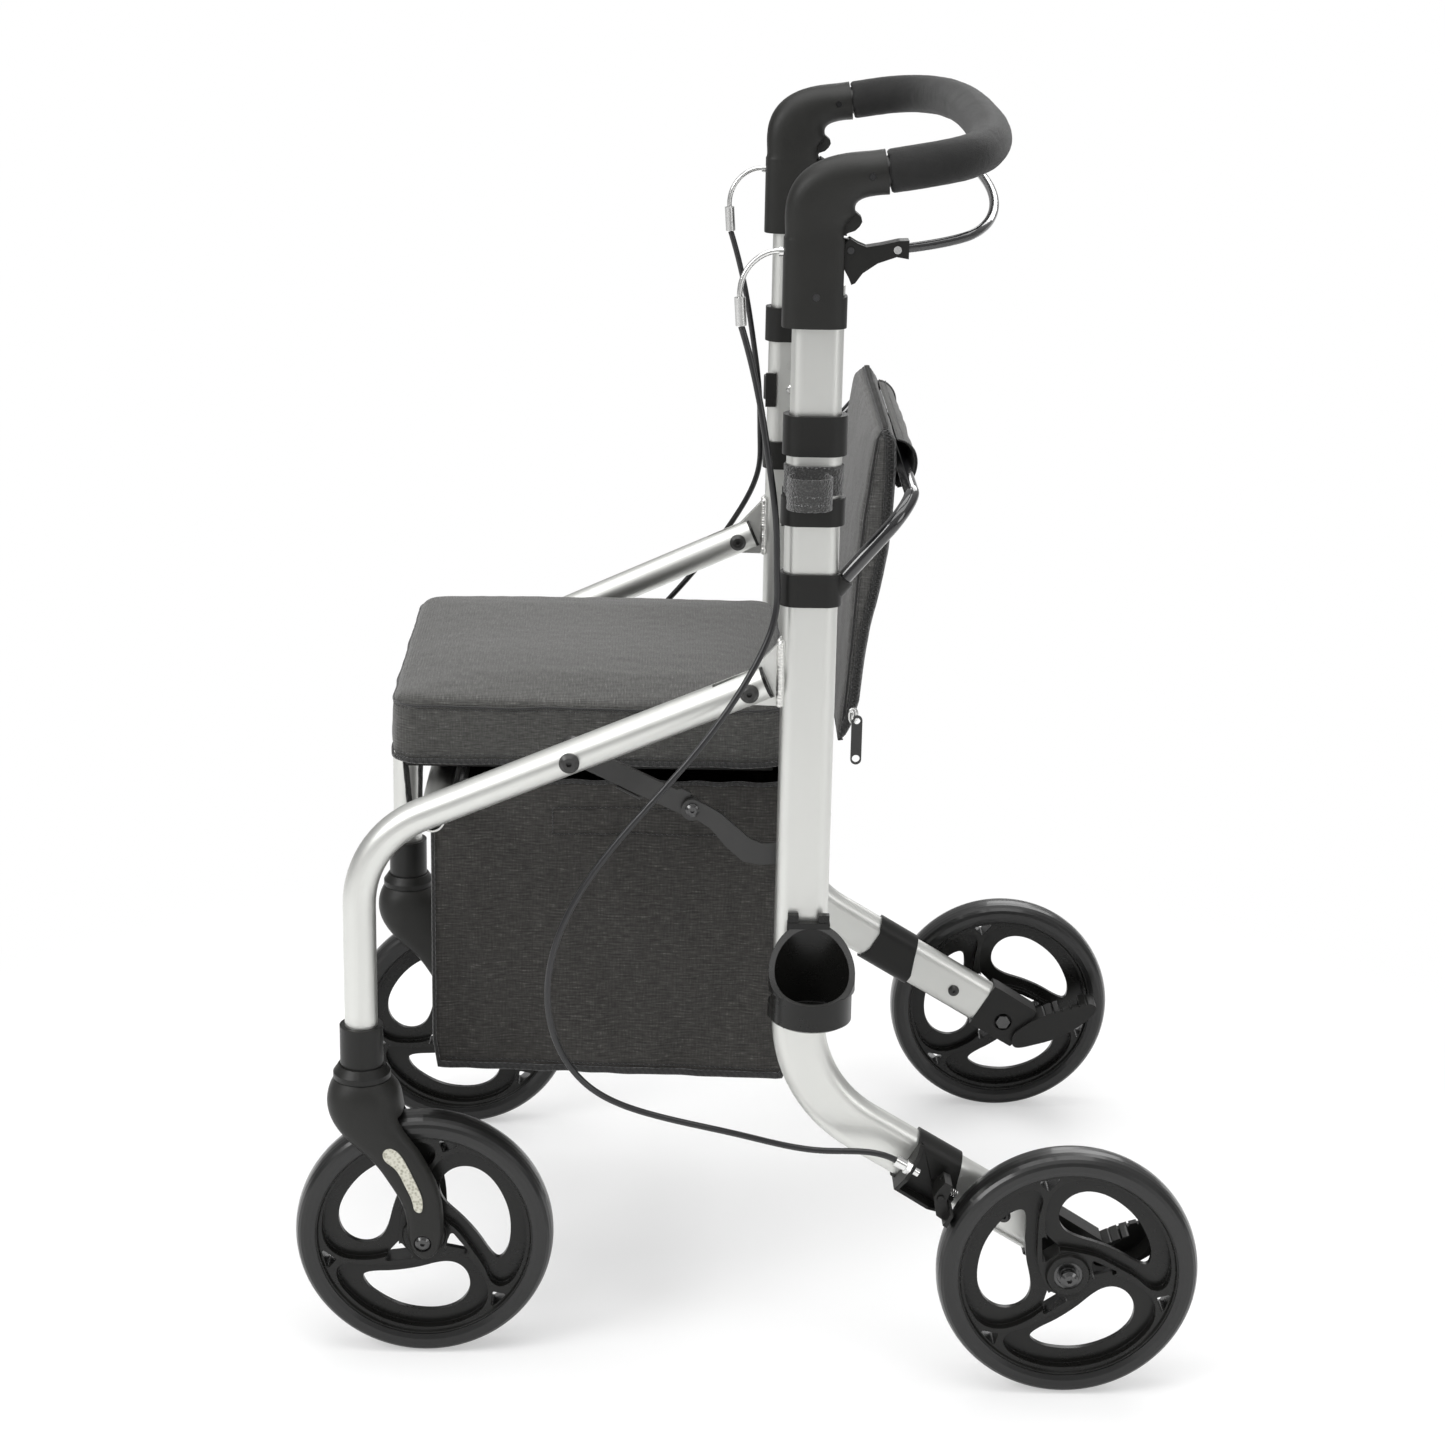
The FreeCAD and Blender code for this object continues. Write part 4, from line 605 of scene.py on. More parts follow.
def remeshed(node, name, material, voxel, iterations, distance):
    """A CAD node with an even, softened and slightly uneven skin."""
    obj = copy_node(node, name, material)
    modify(obj, "REMESH", mode="VOXEL", voxel_size=voxel)
    modify(obj, "SMOOTH", factor=0.5, iterations=iterations)
    displace(obj, distance)
    smooth_all(obj)
    return obj


def tree_of(obj):
    mesh = obj.data
    return BVHTree.FromPolygons([v.co.copy() for v in mesh.vertices],
                                [tuple(p.vertices) for p in mesh.polygons])


def cast(tree, point, outward, start):
    """The surface point met from start metres outside the point, or None."""
    origin = Vector(point) + outward * start
    return tree.ray_cast(origin, -outward, 0.06)[0]


def on_surface(tree, point, outward, start=0.03):
    """The surface point there, or the point itself where there is none."""
    hit = cast(tree, point, outward, start)
    return Vector(point) if hit is None else hit


def running_lengths(points):
    lengths = [0.0]
    for a, b in zip(points, points[1:]):
        lengths.append(lengths[-1] + (b - a).length)
    return lengths


def point_at(points, lengths, s):
    """The point s metres along a path, and the number of the leg it lies on."""
    i = int(np.searchsorted(lengths, s)) - 1
    i = max(0, min(len(points) - 2, i))
    share = (s - lengths[i]) / max(1e-9, lengths[i + 1] - lengths[i])
    return points[i].lerp(points[i + 1], min(1.0, max(0.0, share))), i


class Cords:
    """Round cords gathered into one mesh."""

    def __init__(self):
        self.verts = []
        self.faces = []

    def cord(self, points, radius, closed=False, sides=8):
        """One cord along the points. The radius may be a list, one value per point."""
        count = len(points)
        radii = radius if isinstance(radius, list) else [radius] * count
        base = len(self.verts)
        up = None
        for i, p in enumerate(points):
            before = points[i - 1] if (i > 0 or closed) else p
            after = points[(i + 1) % count] if (i < count - 1 or closed) else p
            along = after - before
            along = along.normalized() if along.length > 1e-9 else Vector((0, 0, 1))
            if up is None:
                up = Vector((0, 0, 1)) if abs(along.z) < 0.9 else Vector((0, 1, 0))
            up = up - along * up.dot(along)
            up = up.normalized() if up.length > 1e-6 else along.orthogonal().normalized()
            across = along.cross(up)
            for k in range(sides):
                angle = 2 * math.pi * k / sides
                self.verts.append(p + up * (radii[i] * math.cos(angle))
                                  + across * (radii[i] * math.sin(angle)))
        for i in range(count if closed else count - 1):
            this = base + i * sides
            following = base + (i + 1) % count * sides
            for k in range(sides):
                l = (k + 1) % sides
                self.faces.append((this + k, this + l, following + l, following + k))
        if not closed:
            last = base + (count - 1) * sides
            self.faces.append(tuple(range(base, base + sides))[::-1])
            self.faces.append(tuple(range(last, last + sides)))

    def stitches(self, path, normals, length, gap, radius, lift=0.0):
        """Short raised threads along a path. Normals are one per leg, or one for all."""
        if isinstance(normals, Vector):
            normals = [normals] * len(path)
        lengths = running_lengths(path)

        def at(s):
            point, leg = point_at(path, lengths, s)
            return point, normals[leg]

        s = gap
        while s + length < lengths[-1]:
            a, out_a = at(s)
            m, out_m = at(s + length / 2)
            b, out_b = at(s + length)
            self.cord([a - out_a * radius * 0.6,
                       a + out_a * (lift + radius * 0.2),
                       m + out_m * (lift + radius * 0.7),
                       b + out_b * (lift + radius * 0.2),
                       b - out_b * radius * 0.6], radius, sides=5)
            s += length + gap

    def build(self, name, material):
        return add(name, self.verts, self.faces, material)


def tube(name, points, radius, material, closed=False):
    cords = Cords()
    cords.cord(points, radius, closed=closed)
    return cords.build(name, material)


def sheet(name, rows, material, closed=False):
    """A surface through rows of points; closed joins the last row to the first."""
    count, width = len(rows), len(rows[0])
    faces = []
    for j in range(count if closed else count - 1):
        this = j * width
        following = (j + 1) % count * width
        for i in range(width - 1):
            faces.append((this + i, this + i + 1, following + i + 1, following + i))
    return add(name, [p for row in rows for p in row], faces, material)


def ribbon(name, rows, material, thick=0.0010, closed=False):
    """Cloth tape through rows of points, one row per place along it."""
    obj = sheet(name, rows, material, closed)
    modify(obj, "SOLIDIFY", thickness=thick, offset=0.0)
    smooth_all(obj)
    box_uv(obj)
    return obj


def rounded_outline(half_width, low, high, radius, count):
    """Evenly spaced (u, v, normal u, normal v) round a rounded rectangle centred on u = 0."""
    middle, half_height = (low + high) / 2, (high - low) / 2
    flat_u, flat_v = half_width - radius, half_height - radius
    straights = [((half_width, middle - flat_v), (1, 0)), ((flat_u, middle + half_height), (0, 1)),
                 ((-half_width, middle + flat_v), (-1, 0)),
                 ((-flat_u, middle - half_height), (0, -1))]
    centres = [(flat_u, middle + flat_v), (-flat_u, middle + flat_v),
               (-flat_u, middle - flat_v), (flat_u, middle - flat_v)]
    arc = math.pi * radius / 2
    legs = [2 * flat_v, arc, 2 * flat_u, arc] * 2
    total = 4 * flat_u + 4 * flat_v + 2 * math.pi * radius
    outline = []
    for i in range(count):
        s = total * i / count
        leg = 0
        while s > legs[leg]:
            s -= legs[leg]
            leg += 1
        quarter, on_corner = divmod(leg, 2)
        if on_corner:
            angle = quarter * math.pi / 2 + s / radius
            nu, nv = math.cos(angle), math.sin(angle)
            u = centres[quarter][0] + radius * nu
            v = centres[quarter][1] + radius * nv
        else:
            (u, v), (nu, nv) = straights[quarter]
            u -= nv * s
            v += nu * s
        outline.append((u, v, nu, nv))
    return outline


def profile(table, z):
    """Reads a table of (z, y) at z."""
    return np.interp(z, *zip(*table))


# ------------------------------------------------------------------ backrest pad
PAD_HALF_WIDTH = 0.134
PAD_BOTTOM, PAD_TOP = 0.477, 0.7205
# z and y of the front and back faces
PAD_FRONT = [
    (0.477, 0.084), (0.484, 0.0825), (0.492, 0.0836), (0.520, 0.0862), (0.575, 0.090),
    (0.625, 0.0927), (0.656, 0.0956), (0.689, 0.0996), (0.716, 0.1032), (0.7205, 0.107),
]
PAD_BACK = [
    (0.478, 0.088), (0.489, 0.094), (0.508, 0.100), (0.536, 0.1025), (0.568, 0.1065),
    (0.600, 0.1135), (0.630, 0.1186), (0.655, 0.1206), (0.676, 0.1215), (0.690, 0.1218),
    (0.714, 0.121), (0.7205, 0.117),
]
# x, z and outward normal round the pad
PAD_OUTLINE = [
    (x, z, Vector((nx, 0, nz)))
    for x, z, nx, nz in rounded_outline(PAD_HALF_WIDTH, PAD_BOTTOM, PAD_TOP, 0.013, count=240)
]
PAD_NORMALS = [outward for _, _, outward in PAD_OUTLINE]
BAND_COLUMNS = 6
BAND_LIFT = 0.0008
TOOTH_PITCH = 0.0016
# zip slider at the foot of the pad's left side
SLIDER_INNER_X, SLIDER_OUTER_X = 0.1335, 0.1351
SLIDER_Y, SLIDER_Z = 0.0945, 0.4995


def pad_pin(at):
    """Holds the cover's edges fully and its back face partly."""
    x, y, z = at.T
    edge = np.minimum.reduce([PAD_HALF_WIDTH - np.abs(x), z - PAD_BOTTOM, PAD_TOP - z])
    rim = np.clip(1 - edge / 0.016, 0, 1)
    back = np.clip(1 - (profile(PAD_BACK, z) - y) / 0.004, 0, 1) * 0.85
    return np.clip(np.maximum(rim, back), 0, 1)


def make_pad():
    obj = cushion("backrest_pad", "pad_cover", FABRIC_LIGHT, voxel=0.005, cap=0.006,
                  pin_weights=pad_pin)
    displace(obj, lambda at: 0.0011 * relief(at, 22.0, 3.1) + 0.0005 * relief(at, 70.0, 9.0))
    box_uv(obj)
    place(obj, "rear_frame", replaces="backrest_pad")
    return tree_of(obj)


def pad_row(tree, offset, lift):
    """Points round the pad's edge, offset behind its front face."""
    return [on_surface(tree, (x, profile(PAD_FRONT, z) + offset, z), outward) + outward * lift
            for x, z, outward in PAD_OUTLINE]


def make_pad_front_seam(tree):
    """A cord and a row of stitches round the front edge."""
    seam = tube("pad_edge_seam", pad_row(tree, offset=0.0032, lift=0.0004), 0.0009,
                THREAD_DARK, closed=True)
    place(seam, "rear_frame")
    row = pad_row(tree, offset=0.0052, lift=0.0001)
    threads = Cords()
    threads.stitches(row + [row[0]], PAD_NORMALS, length=0.0028, gap=0.0009, radius=0.00035)
    place(threads.build("pad_stitching", THREAD), "rear_frame")


def make_pad_zip_band(tree):
    """A bulging tape round the rear edge. Returns its rows of points."""
    rows = []
    for x, z, outward in PAD_OUTLINE:
        back = profile(PAD_BACK, z)
        depth = back - profile(PAD_FRONT, z)
        near = max(0.0006, min(0.0012, depth * 0.1))
        far = min(0.0085, depth * 0.72)
        row = []
        for k in range(BAND_COLUMNS):
            y = back - (near + (far - near) * k / (BAND_COLUMNS - 1))
            bulge = 0.0011 * math.sin(math.pi * (k + 0.5) / BAND_COLUMNS)
            row.append(on_surface(tree, (x, y, z), outward) + outward * (BAND_LIFT + bulge))
        rows.append(row)
    band = ribbon("pad_zip_band", rows, BIND, closed=True)
    place(band, "rear_frame")
    return rows


def make_zip_teeth(rows):
    """Teeth along the middle of the band, set to either side in turn."""
    middle = [row[2].lerp(row[3], 0.5) for row in rows]
    lengths = running_lengths(middle)
    half_tooth = Vector((0, 0.0011, 0))
    teeth = Cords()
    s = 0.0
    while s < lengths[-1]:
        p, leg = point_at(middle, lengths, s)
        # the foot of the left side, by the slider, has no teeth
        if not (abs(p.x - PAD_HALF_WIDTH) < 0.006 and 0.455 < p.z < 0.503):
            shift = 0.0008 if int(s / TOOTH_PITCH) % 2 else -0.0008
            centre = p + PAD_NORMALS[leg] * 0.0008 + Vector((0, shift, 0))
            teeth.cord([centre - half_tooth, centre + half_tooth], 0.0006, sides=5)
        s += TOOTH_PITCH
    place(teeth.build("pad_zip_teeth", SATIN), "rear_frame")


def make_band_stitching(rows):
    threads = Cords()
    for column in (0, BAND_COLUMNS - 1):
        threads.stitches([row[column] for row in rows] + [rows[0][column]], PAD_NORMALS,
                         length=0.0026, gap=0.001, radius=0.00032, lift=0.0004)
    place(threads.build("pad_band_stitching", THREAD_DARK), "rear_frame")


def make_zip_slider():
    """Two oval rings and a bridge over them."""
    parts = Cords()
    for shift, half_width in ((-0.0002, 0.0036), (0.0014, 0.0028)):
        ring = []
        for k in range(16):
            angle = 2 * math.pi * k / 16
            ring.append(Vector((SLIDER_INNER_X + shift, SLIDER_Y + half_width * math.cos(angle),
                                SLIDER_Z + 0.0058 * math.sin(angle))))
        parts.cord(ring, 0.0011, closed=True, sides=6)
    bridge = [(SLIDER_INNER_X, -0.0055), (SLIDER_OUTER_X, -0.002),
              (SLIDER_OUTER_X, 0.002), (SLIDER_INNER_X, 0.0055)]    # x and rise from the middle
    parts.cord([Vector((x, SLIDER_Y, SLIDER_Z + rise)) for x, rise in bridge], 0.0016)
    place(parts.build("zip_slider", STEEL), "rear_frame")


def make_zip_tape_fray():
    """Loose threads at the pad's upper right corner."""
    threads = Cords()
    for _ in range(22):
        root = Vector((-0.116 + random.uniform(-0.004, 0.004), 0.1205,
                       0.7075 + random.uniform(-0.003, 0.003)))
        tip = root + Vector((random.uniform(-0.003, 0.003), random.uniform(0.004, 0.011),
                             random.uniform(-0.002, 0.004)))
        middle = root.lerp(tip, 0.5) + Vector((random.uniform(-0.001, 0.001),) * 3)
        threads.cord([root, middle, tip], 0.0004, sides=4)
    place(threads.build("zip_tape_fray", THREAD_DARK), "rear_frame")


# ------------------------------------------------------------------ sleeve on the pad's back
SLEEVE_HALF_WIDTH = 0.118
SLEEVE_TOP, SLEEVE_HEIGHT = 0.7115, 0.036
SLEEVE_CREST_Y = 0.1362
SLEEVE_STEPS_X, SLEEVE_STEPS_Z = 60, 22


def sleeve_rows():
    rows = []
    for i in range(SLEEVE_STEPS_X + 1):
        x = -SLEEVE_HALF_WIDTH + 2 * SLEEVE_HALF_WIDTH * i / SLEEVE_STEPS_X
        sag = 0.0016 * wobble(x * 24, 1.3, 0.2) + 0.0010 * wobble(x * 70, 4.3, 0.2)
        row = []
        for k in range(SLEEVE_STEPS_Z + 1):
            t = k / SLEEVE_STEPS_Z
            z = SLEEVE_TOP - SLEEVE_HEIGHT * t
            base = profile(PAD_BACK, z) + 0.0008
            arch = math.sin(math.pi * t) ** 0.55
            y = base + (SLEEVE_CREST_Y + sag - base) * arch
            z += 0.0011 * math.sin(2 * math.pi * t) + 0.5 * sag * arch
            row.append(Vector((x, y, z)))
        rows.append(row)
    return rows


def make_sleeve():
    """The arched sleeve that the hoop's crossbar passes through, bound at both ends."""
    rows = sleeve_rows()
    sleeve = ribbon("pad_sleeve", rows, FABRIC, thick=0.0012)
    subdivide(sleeve)
    box_uv(sleeve)
    place(sleeve, "rear_frame")
    # x outward from the sleeve's end, and y, across the binding
    section = ((0.0012, 0.0012), (-0.002, 0.0016), (-0.0058, 0.0012))
    for tag, sign, end_row in (("a", -1, rows[0]), ("b", 1, rows[-1])):
        tape = [[p + Vector((sign * x, y, 0)) for x, y in section] for p in end_row]
        binding = ribbon("sleeve_binding_" + tag, tape, BIND)
        place(binding, "rear_frame")
    threads = Cords()
    for k in (1, SLEEVE_STEPS_Z - 1):
        threads.stitches([row[k] + Vector((0, 0.0008, 0)) for row in rows], Vector((0, 1, 0)),
                         length=0.003, gap=0.0012, radius=0.0004)
    place(threads.build("sleeve_stitching", THREAD), "rear_frame")


# ------------------------------------------------------------------ seat cushion
SEAT_HALF_WIDTH = 0.155
SEAT_FRONT, SEAT_BACK = -0.258, 0.044
SEAT_BOTTOM, SEAT_TOP = 0.462, 0.516
# x, y and outward normal round the seat
SEAT_OUTLINE = [
    (x, y, Vector((nx, ny, 0)))
    for x, y, nx, ny in rounded_outline(SEAT_HALF_WIDTH, SEAT_FRONT, SEAT_BACK, 0.020, count=260)
]
SEAT_NORMALS = [outward for _, _, outward in SEAT_OUTLINE]


def seat_pin(at):
    """Holds the underside fully, and the sides and lower rim partly."""
    x, y, z = at.T
    bottom = np.clip(1 - (z - SEAT_BOTTOM) / 0.006, 0, 1)
    edge = np.minimum.reduce([SEAT_HALF_WIDTH - np.abs(x), y - SEAT_FRONT, SEAT_BACK - y])
    below_top = np.clip(1 - (SEAT_TOP - z) / 0.014, 0, 1)
    rim = np.clip(1 - edge / 0.012, 0, 1) * below_top * 0.9
    side = np.clip(1 - edge / 0.004, 0, 1) * 0.45
    return np.clip(np.maximum.reduce([bottom, rim, side]), 0, 1)


def seat_dents(at):
    """Broad dents on top, upright creases on the sides and a fine unevenness."""
    top = np.clip((at[:, 2] - 0.505) / 0.008, 0, 1)
    broad = 0.0022 * relief(at, 11.0, 5.0) * top
    creases = (1 - top) * (0.0019 * relief(at * np.array([1, 1, 0.35]), 42.0, 2.0))
    return broad + creases + 0.0004 * relief(at, 90.0, 8.0)


def make_seat():
    obj = cushion("seat_cushion", "seat_cover", FABRIC, voxel=0.0055, cap=0.005,
                  pin_weights=seat_pin)
    displace(obj, seat_dents)
    box_uv(obj)
    place(obj, "seat", replaces="seat_cushion")
    return tree_of(obj)


def seat_row(tree, height, lift, wave, seed):
    """Points round the seat's side at a slightly wavy height."""
    points = []
    for x, y, outward in SEAT_OUTLINE:
        z = height + wave * wobble(x * 30, y * 30, seed)
        points.append(on_surface(tree, (x, y, z), outward) + outward * lift)
    return points


def make_seat_seams(tree):
    seam = tube("seat_top_seam", seat_row(tree, 0.5075, lift=0.0002, wave=0.0014, seed=2.0),
                0.0010, THREAD_DARK, closed=True)
    place(seam, "seat")
    threads = Cords()
    for height, wave, seed in ((0.5050, 0.0014, 2.0), (0.4695, 0.001, 4.0)):
        row = seat_row(tree, height, lift=-0.0001, wave=wave, seed=seed)
        threads.stitches(row + [row[0]], SEAT_NORMALS, length=0.003, gap=0.001, radius=0.00038)
    place(threads.build("seat_stitching", THREAD), "seat")


def make_seat_binding(tree):
    """A dark, slightly wavy tape round the lower edge."""
    heights = (0.4632, 0.4645, 0.4658, 0.4670)
    rows = []
    for x, y, outward in SEAT_OUTLINE:
        wave = 0.0008 * wobble(x * 34, y * 34, 7)
        skin = on_surface(tree, (x, y, 0.4665), outward)
        row = []
        for k, z in enumerate(heights):
            bulge = 0.0018 * math.sin(math.pi * (k + 0.3) / 3.6)
            row.append(Vector((skin.x, skin.y, z + wave)) + outward * (0.0006 + bulge))
        rows.append(row)
    place(ribbon("seat_lower_binding", rows, BIND, closed=True), "seat")


# ------------------------------------------------------------------ shopping bag
BAG_HALF_WIDTH = 0.1545
BAG_INSET = 0.003           # front sheet and hem, inside the half width
BAG_FOOT_FRONT, BAG_BACK = -0.224, 0.050
BAG_LENGTH = BAG_BACK - BAG_FOOT_FRONT
BAG_FOOT, BAG_MOUTH = 0.2130, 0.449
SHEET_GAP = 0.002           # the cloth lies this far behind the front profile
HEM_FRONT, HEM_Z = -0.2035, 0.4485
# z and y of the front, stepping back below the mouth
BAG_FRONT = [(0.213, -0.2245), (0.235, -0.228), (0.420, -0.228), (0.424, -0.207),
             (0.450, -0.2045)]
# y and z down the front, back along the floor and up the back
BAG_STRIP = [
    (profile(BAG_FRONT, 0.449) + SHEET_GAP, 0.449), (profile(BAG_FRONT, 0.43) + SHEET_GAP, 0.430),
    (-0.2075, 0.4235), (-0.2262, 0.4190), (-0.2268, 0.40), (-0.2268, 0.36), (-0.2268, 0.32),
    (-0.2268, 0.28), (-0.2268, 0.245), (-0.2255, 0.225), (-0.2225, 0.2135),
    (-0.19, 0.2122), (-0.14, 0.2109), (-0.09, 0.2097), (-0.04, 0.2084), (0.01, 0.2071),
    (0.045, 0.2062), (0.0495, 0.212), (0.0505, 0.24), (0.051, 0.28), (0.051, 0.32),
    (0.051, 0.36), (0.051, 0.40), (0.051, 0.449),
]
# y and z round the stitched patch outline on each side
BAG_PATCH = [(-0.134, 0.4275), (-0.002, 0.4275), (-0.002, 0.4065), (-0.134, 0.4065),
             (-0.134, 0.4275)]


def bag_bottom(y):
    """Height of the floor, which falls 7 mm towards the back."""
    return BAG_FOOT - 0.007 * (y - BAG_FOOT_FRONT) / BAG_LENGTH


def wrinkle(y, z, seed):
    """Diagonal drags, upright folds, and ripples near the foot."""
    broad = wobble(y * 16 + z * 9, z * 4 - y * 3, seed) * 0.0052
    upright = wobble(y * 44, z * 9 + seed, seed) * 0.0024
    diagonal = wobble((y - z) * 32, (y + z) * 9, seed * 2) * 0.0022
    phase = y * 95 + 2.2 * wobble(y * 12, z * 12, seed)
    foot = 0.0020 * math.sin(phase) * math.exp(-((z - 0.225) / 0.03) ** 2)
    return broad + upright + diagonal + foot


def make_bag_side(tag, sign, steps_y=64, steps_z=56):
    """One side wall as a wrinkled sheet, drawn inwards at its middle."""
    rows = []
    for j in range(steps_z + 1):
        v = j / steps_z
        row = []
        for i in range(steps_y + 1):
            u = i / steps_y
            foot = bag_bottom(BAG_FOOT_FRONT + BAG_LENGTH * u)
            z = foot + (BAG_MOUTH - foot) * v
            front = profile(BAG_FRONT, z) + SHEET_GAP
            y = front + (BAG_BACK - front) * u
            edge = min(1.0, min(u, 1 - u) / 0.06) * min(1.0, min(v, 1 - v) / 0.05)
            belly = -0.0035 * math.sin(math.pi * u) * math.sin(math.pi * min(1, v * 1.05)) ** 0.8
            x = BAG_HALF_WIDTH - 0.0035 + belly + edge * wrinkle(y, z, 3.0 + sign)
            row.append(Vector((sign * min(BAG_HALF_WIDTH + 0.0035, x), y, z)))
        rows.append(row)
    return sheet("bag_side_" + tag, rows, FABRIC_BAG)


def make_bag_strip(steps_x=60):
    """Front, floor and back as one wide strip."""
    path = []
    for (y0, z0), (y1, z1) in zip(BAG_STRIP, BAG_STRIP[1:]):
        count = max(1, int(math.hypot(y1 - y0, z1 - z0) / 0.005))
        for k in range(count):
            path.append((y0 + (y1 - y0) * k / count, z0 + (z1 - z0) * k / count))
    path.append(BAG_STRIP[-1])
    rows = []
    for j, (y, z) in enumerate(path):
        after = path[min(j + 1, len(path) - 1)]
        before = path[max(j - 1, 0)]
        along = Vector((0, after[0] - before[0], after[1] - before[1])).normalized()
        normal = Vector((0, along.z, -along.y))
        row = []
        for i in range(steps_x + 1):
            x = -BAG_HALF_WIDTH + BAG_INSET + 2 * (BAG_HALF_WIDTH - BAG_INSET) * i / steps_x
            edge = min(1.0, min(i, steps_x - i) / 4.0)
            dent = (0.0016 * wobble(x * 18, z * 10 + y * 8, 6.0)
                    + 0.0010 * wobble(x * 50, z * 14, 8.0))
            row.append(Vector((x, y, z)) + normal * (edge * dent - 0.0012 * edge))
        rows.append(row)
    return sheet("bag_front_floor_back", rows, FABRIC_BAG)


def make_bag_binding(tag, sign):
    """Cord down the front, along the foot and up the back of a side wall."""
    front = [(profile(BAG_FRONT, z) + SHEET_GAP, z) for z in np.linspace(BAG_MOUTH, 0.2155, 60)]
    foot = []
    for u in np.linspace(0.0, 1.0, 80):
        y = -0.2225 + 0.268 * u
        foot.append((y, bag_bottom(y) + 0.0010))
    back = [(0.0495, z) for z in np.linspace(0.214, BAG_MOUTH, 50)]
    points, radii = [], []
    for k, (y, z) in enumerate(front + foot + back):
        at_foot = len(front) <= k < len(front) + len(foot)
        ripple = 0.0005 * math.sin(k * 0.55) * (1.0 if at_foot else 0.25)
        wave = ripple + 0.0012 * wobble(y * 60, z * 60, 3)
        rise = 0.0012 * wobble(y * 45, 2.0, sign) if at_foot else 0
        points.append(Vector((sign * (BAG_HALF_WIDTH - 0.0022 + 0.5 * wave), y, z + rise)))
        radii.append(0.0028 if at_foot else 0.0016)
    obj = tube("bag_binding_" + tag, points, radii, BIND)
    box_uv(obj)
    return obj


def make_bag_hem():
    """Cord round the mouth, wavy along the sides."""
    half = BAG_HALF_WIDTH - BAG_INSET
    points = []
    for sign, y_start, y_end in ((1, HEM_FRONT, BAG_BACK), (-1, BAG_BACK, HEM_FRONT)):
        for x in np.linspace(-sign * half, sign * half, 50):
            points.append(Vector((x, y_start, HEM_Z)))
        for y in np.linspace(y_start, y_end, 46):
            points.append(Vector((sign * half, y, HEM_Z + 0.0006 * math.sin(y * 200))))
    obj = tube("bag_mouth_hem", points[:-1], 0.0018, BIND, closed=True)
    box_uv(obj)
    return obj


def make_bag_stitching(walls):
    """The patch outline and a row above the foot, on each side."""
    threads = Cords()
    for (_, sign), wall in zip(SIDES, walls):
        tree = tree_of(wall)
        outward = Vector((sign, 0, 0))

        def stitch(places):
            line = [on_surface(tree, (sign * BAG_HALF_WIDTH, y, z), outward, start=0.02)
                    + outward * 0.0003 for y, z in places]
            threads.stitches(line, outward, length=0.003, gap=0.0010, radius=0.00042)

        for (y0, z0), (y1, z1) in zip(BAG_PATCH, BAG_PATCH[1:]):
            count = max(2, int(math.hypot(y1 - y0, z1 - z0) / 0.003))
            stitch([(y0 + (y1 - y0) * i / count, z0 + (z1 - z0) * i / count)
                    for i in range(count + 1)])
        foot = [-0.218 + 0.262 * i / 90 for i in range(91)]
        stitch([(y, bag_bottom(y) + 0.006) for y in foot])
    return threads.build("bag_stitching", THREAD_DARK)


def make_bag():
    walls = [make_bag_side(tag, sign) for tag, sign in SIDES]
    strip = make_bag_strip()
    pieces = walls + [strip]
    for obj in pieces:
        modify(obj, "SOLIDIFY", thickness=0.0016, offset=0.0)
        subdivide(obj)
        box_uv(obj)
    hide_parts("shopping_bag")
    pieces += [make_bag_binding(tag, sign) for tag, sign in SIDES]
    pieces.append(make_bag_hem())
    pieces.append(make_bag_stitching(walls))
    for obj in pieces:
        place(obj, "rear_frame")
        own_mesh(obj)


# ------------------------------------------------------------------ straps, grip and cables
def make_stick_strap():
    obj = remeshed(
        "stick_strap", "stick_strap_cloth", VELCRO, voxel=0.0009, iterations=1,
        distance=lambda at: (0.00025 * relief(at, 160.0, 1.0) + 0.0002 * relief(at, 420.0, 3.0)
                             - 0.0001))
    box_uv(obj)
    place(obj, "rear_frame", replaces="stick_strap")
    return tree_of(obj)


def make_strap_fray(tree):
    """Loose thread ends at three heights on the strap's left face."""
    threads = Cords()
    for _ in range(60):
        z = random.choice((0.6945, 0.7005, 0.7170))
        y = random.uniform(0.038, 0.066)
        root = cast(tree, (0.262, y, z - 0.001), Vector((1, 0, 0)), start=0.02)
        if root is None:
            continue
        tip = root + Vector((random.uniform(0.0002, 0.0016), random.uniform(-0.001, 0.001),
                             random.uniform(-0.0012, 0.0012)))
        threads.cord([root, root.lerp(tip, 0.5) + Vector((0.0003, 0, 0)), tip], 0.00014, sides=4)
    if threads.verts:
        place(threads.build("strap_fray", FRAY), "rear_frame")


def make_seat_pull():
    obj = remeshed("seat_pull_strap", "seat_pull_webbing", WEB, voxel=0.0009, iterations=1,
                   distance=lambda at: 0.0002 * relief(at, 140.0, 1.0))
    box_uv(obj)
    place(obj, "seat", replaces="seat_pull_strap")


def make_foam_grip():
    obj = remeshed(
        "foam_grip", "foam_sleeve", FOAM, voxel=0.0022, iterations=3,
        distance=lambda at: 0.00035 * relief(at, 38.0, 4.0) + 0.00012 * relief(at, 220.0, 2.0))
    place(obj, "handlebar", replaces="foam_grip")


def make_cables():
    """Brake cables as a smooth copy of the CAD node, left in world place."""
    obj = copy_node("brake_cables", "brake_cable_sheaths", CABLE)
    smooth_all(obj)
    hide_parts("brake_cables")
    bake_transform(obj)


# ------------------------------------------------------------------ fold bracket welds
BRACKET_X, BRACKET_HALF = 0.228, 0.0046
WELD_Y = 0.0345
WELD_BOTTOM, WELD_TOP = 0.5378, 0.5852
WELD_RADIUS = 0.0027
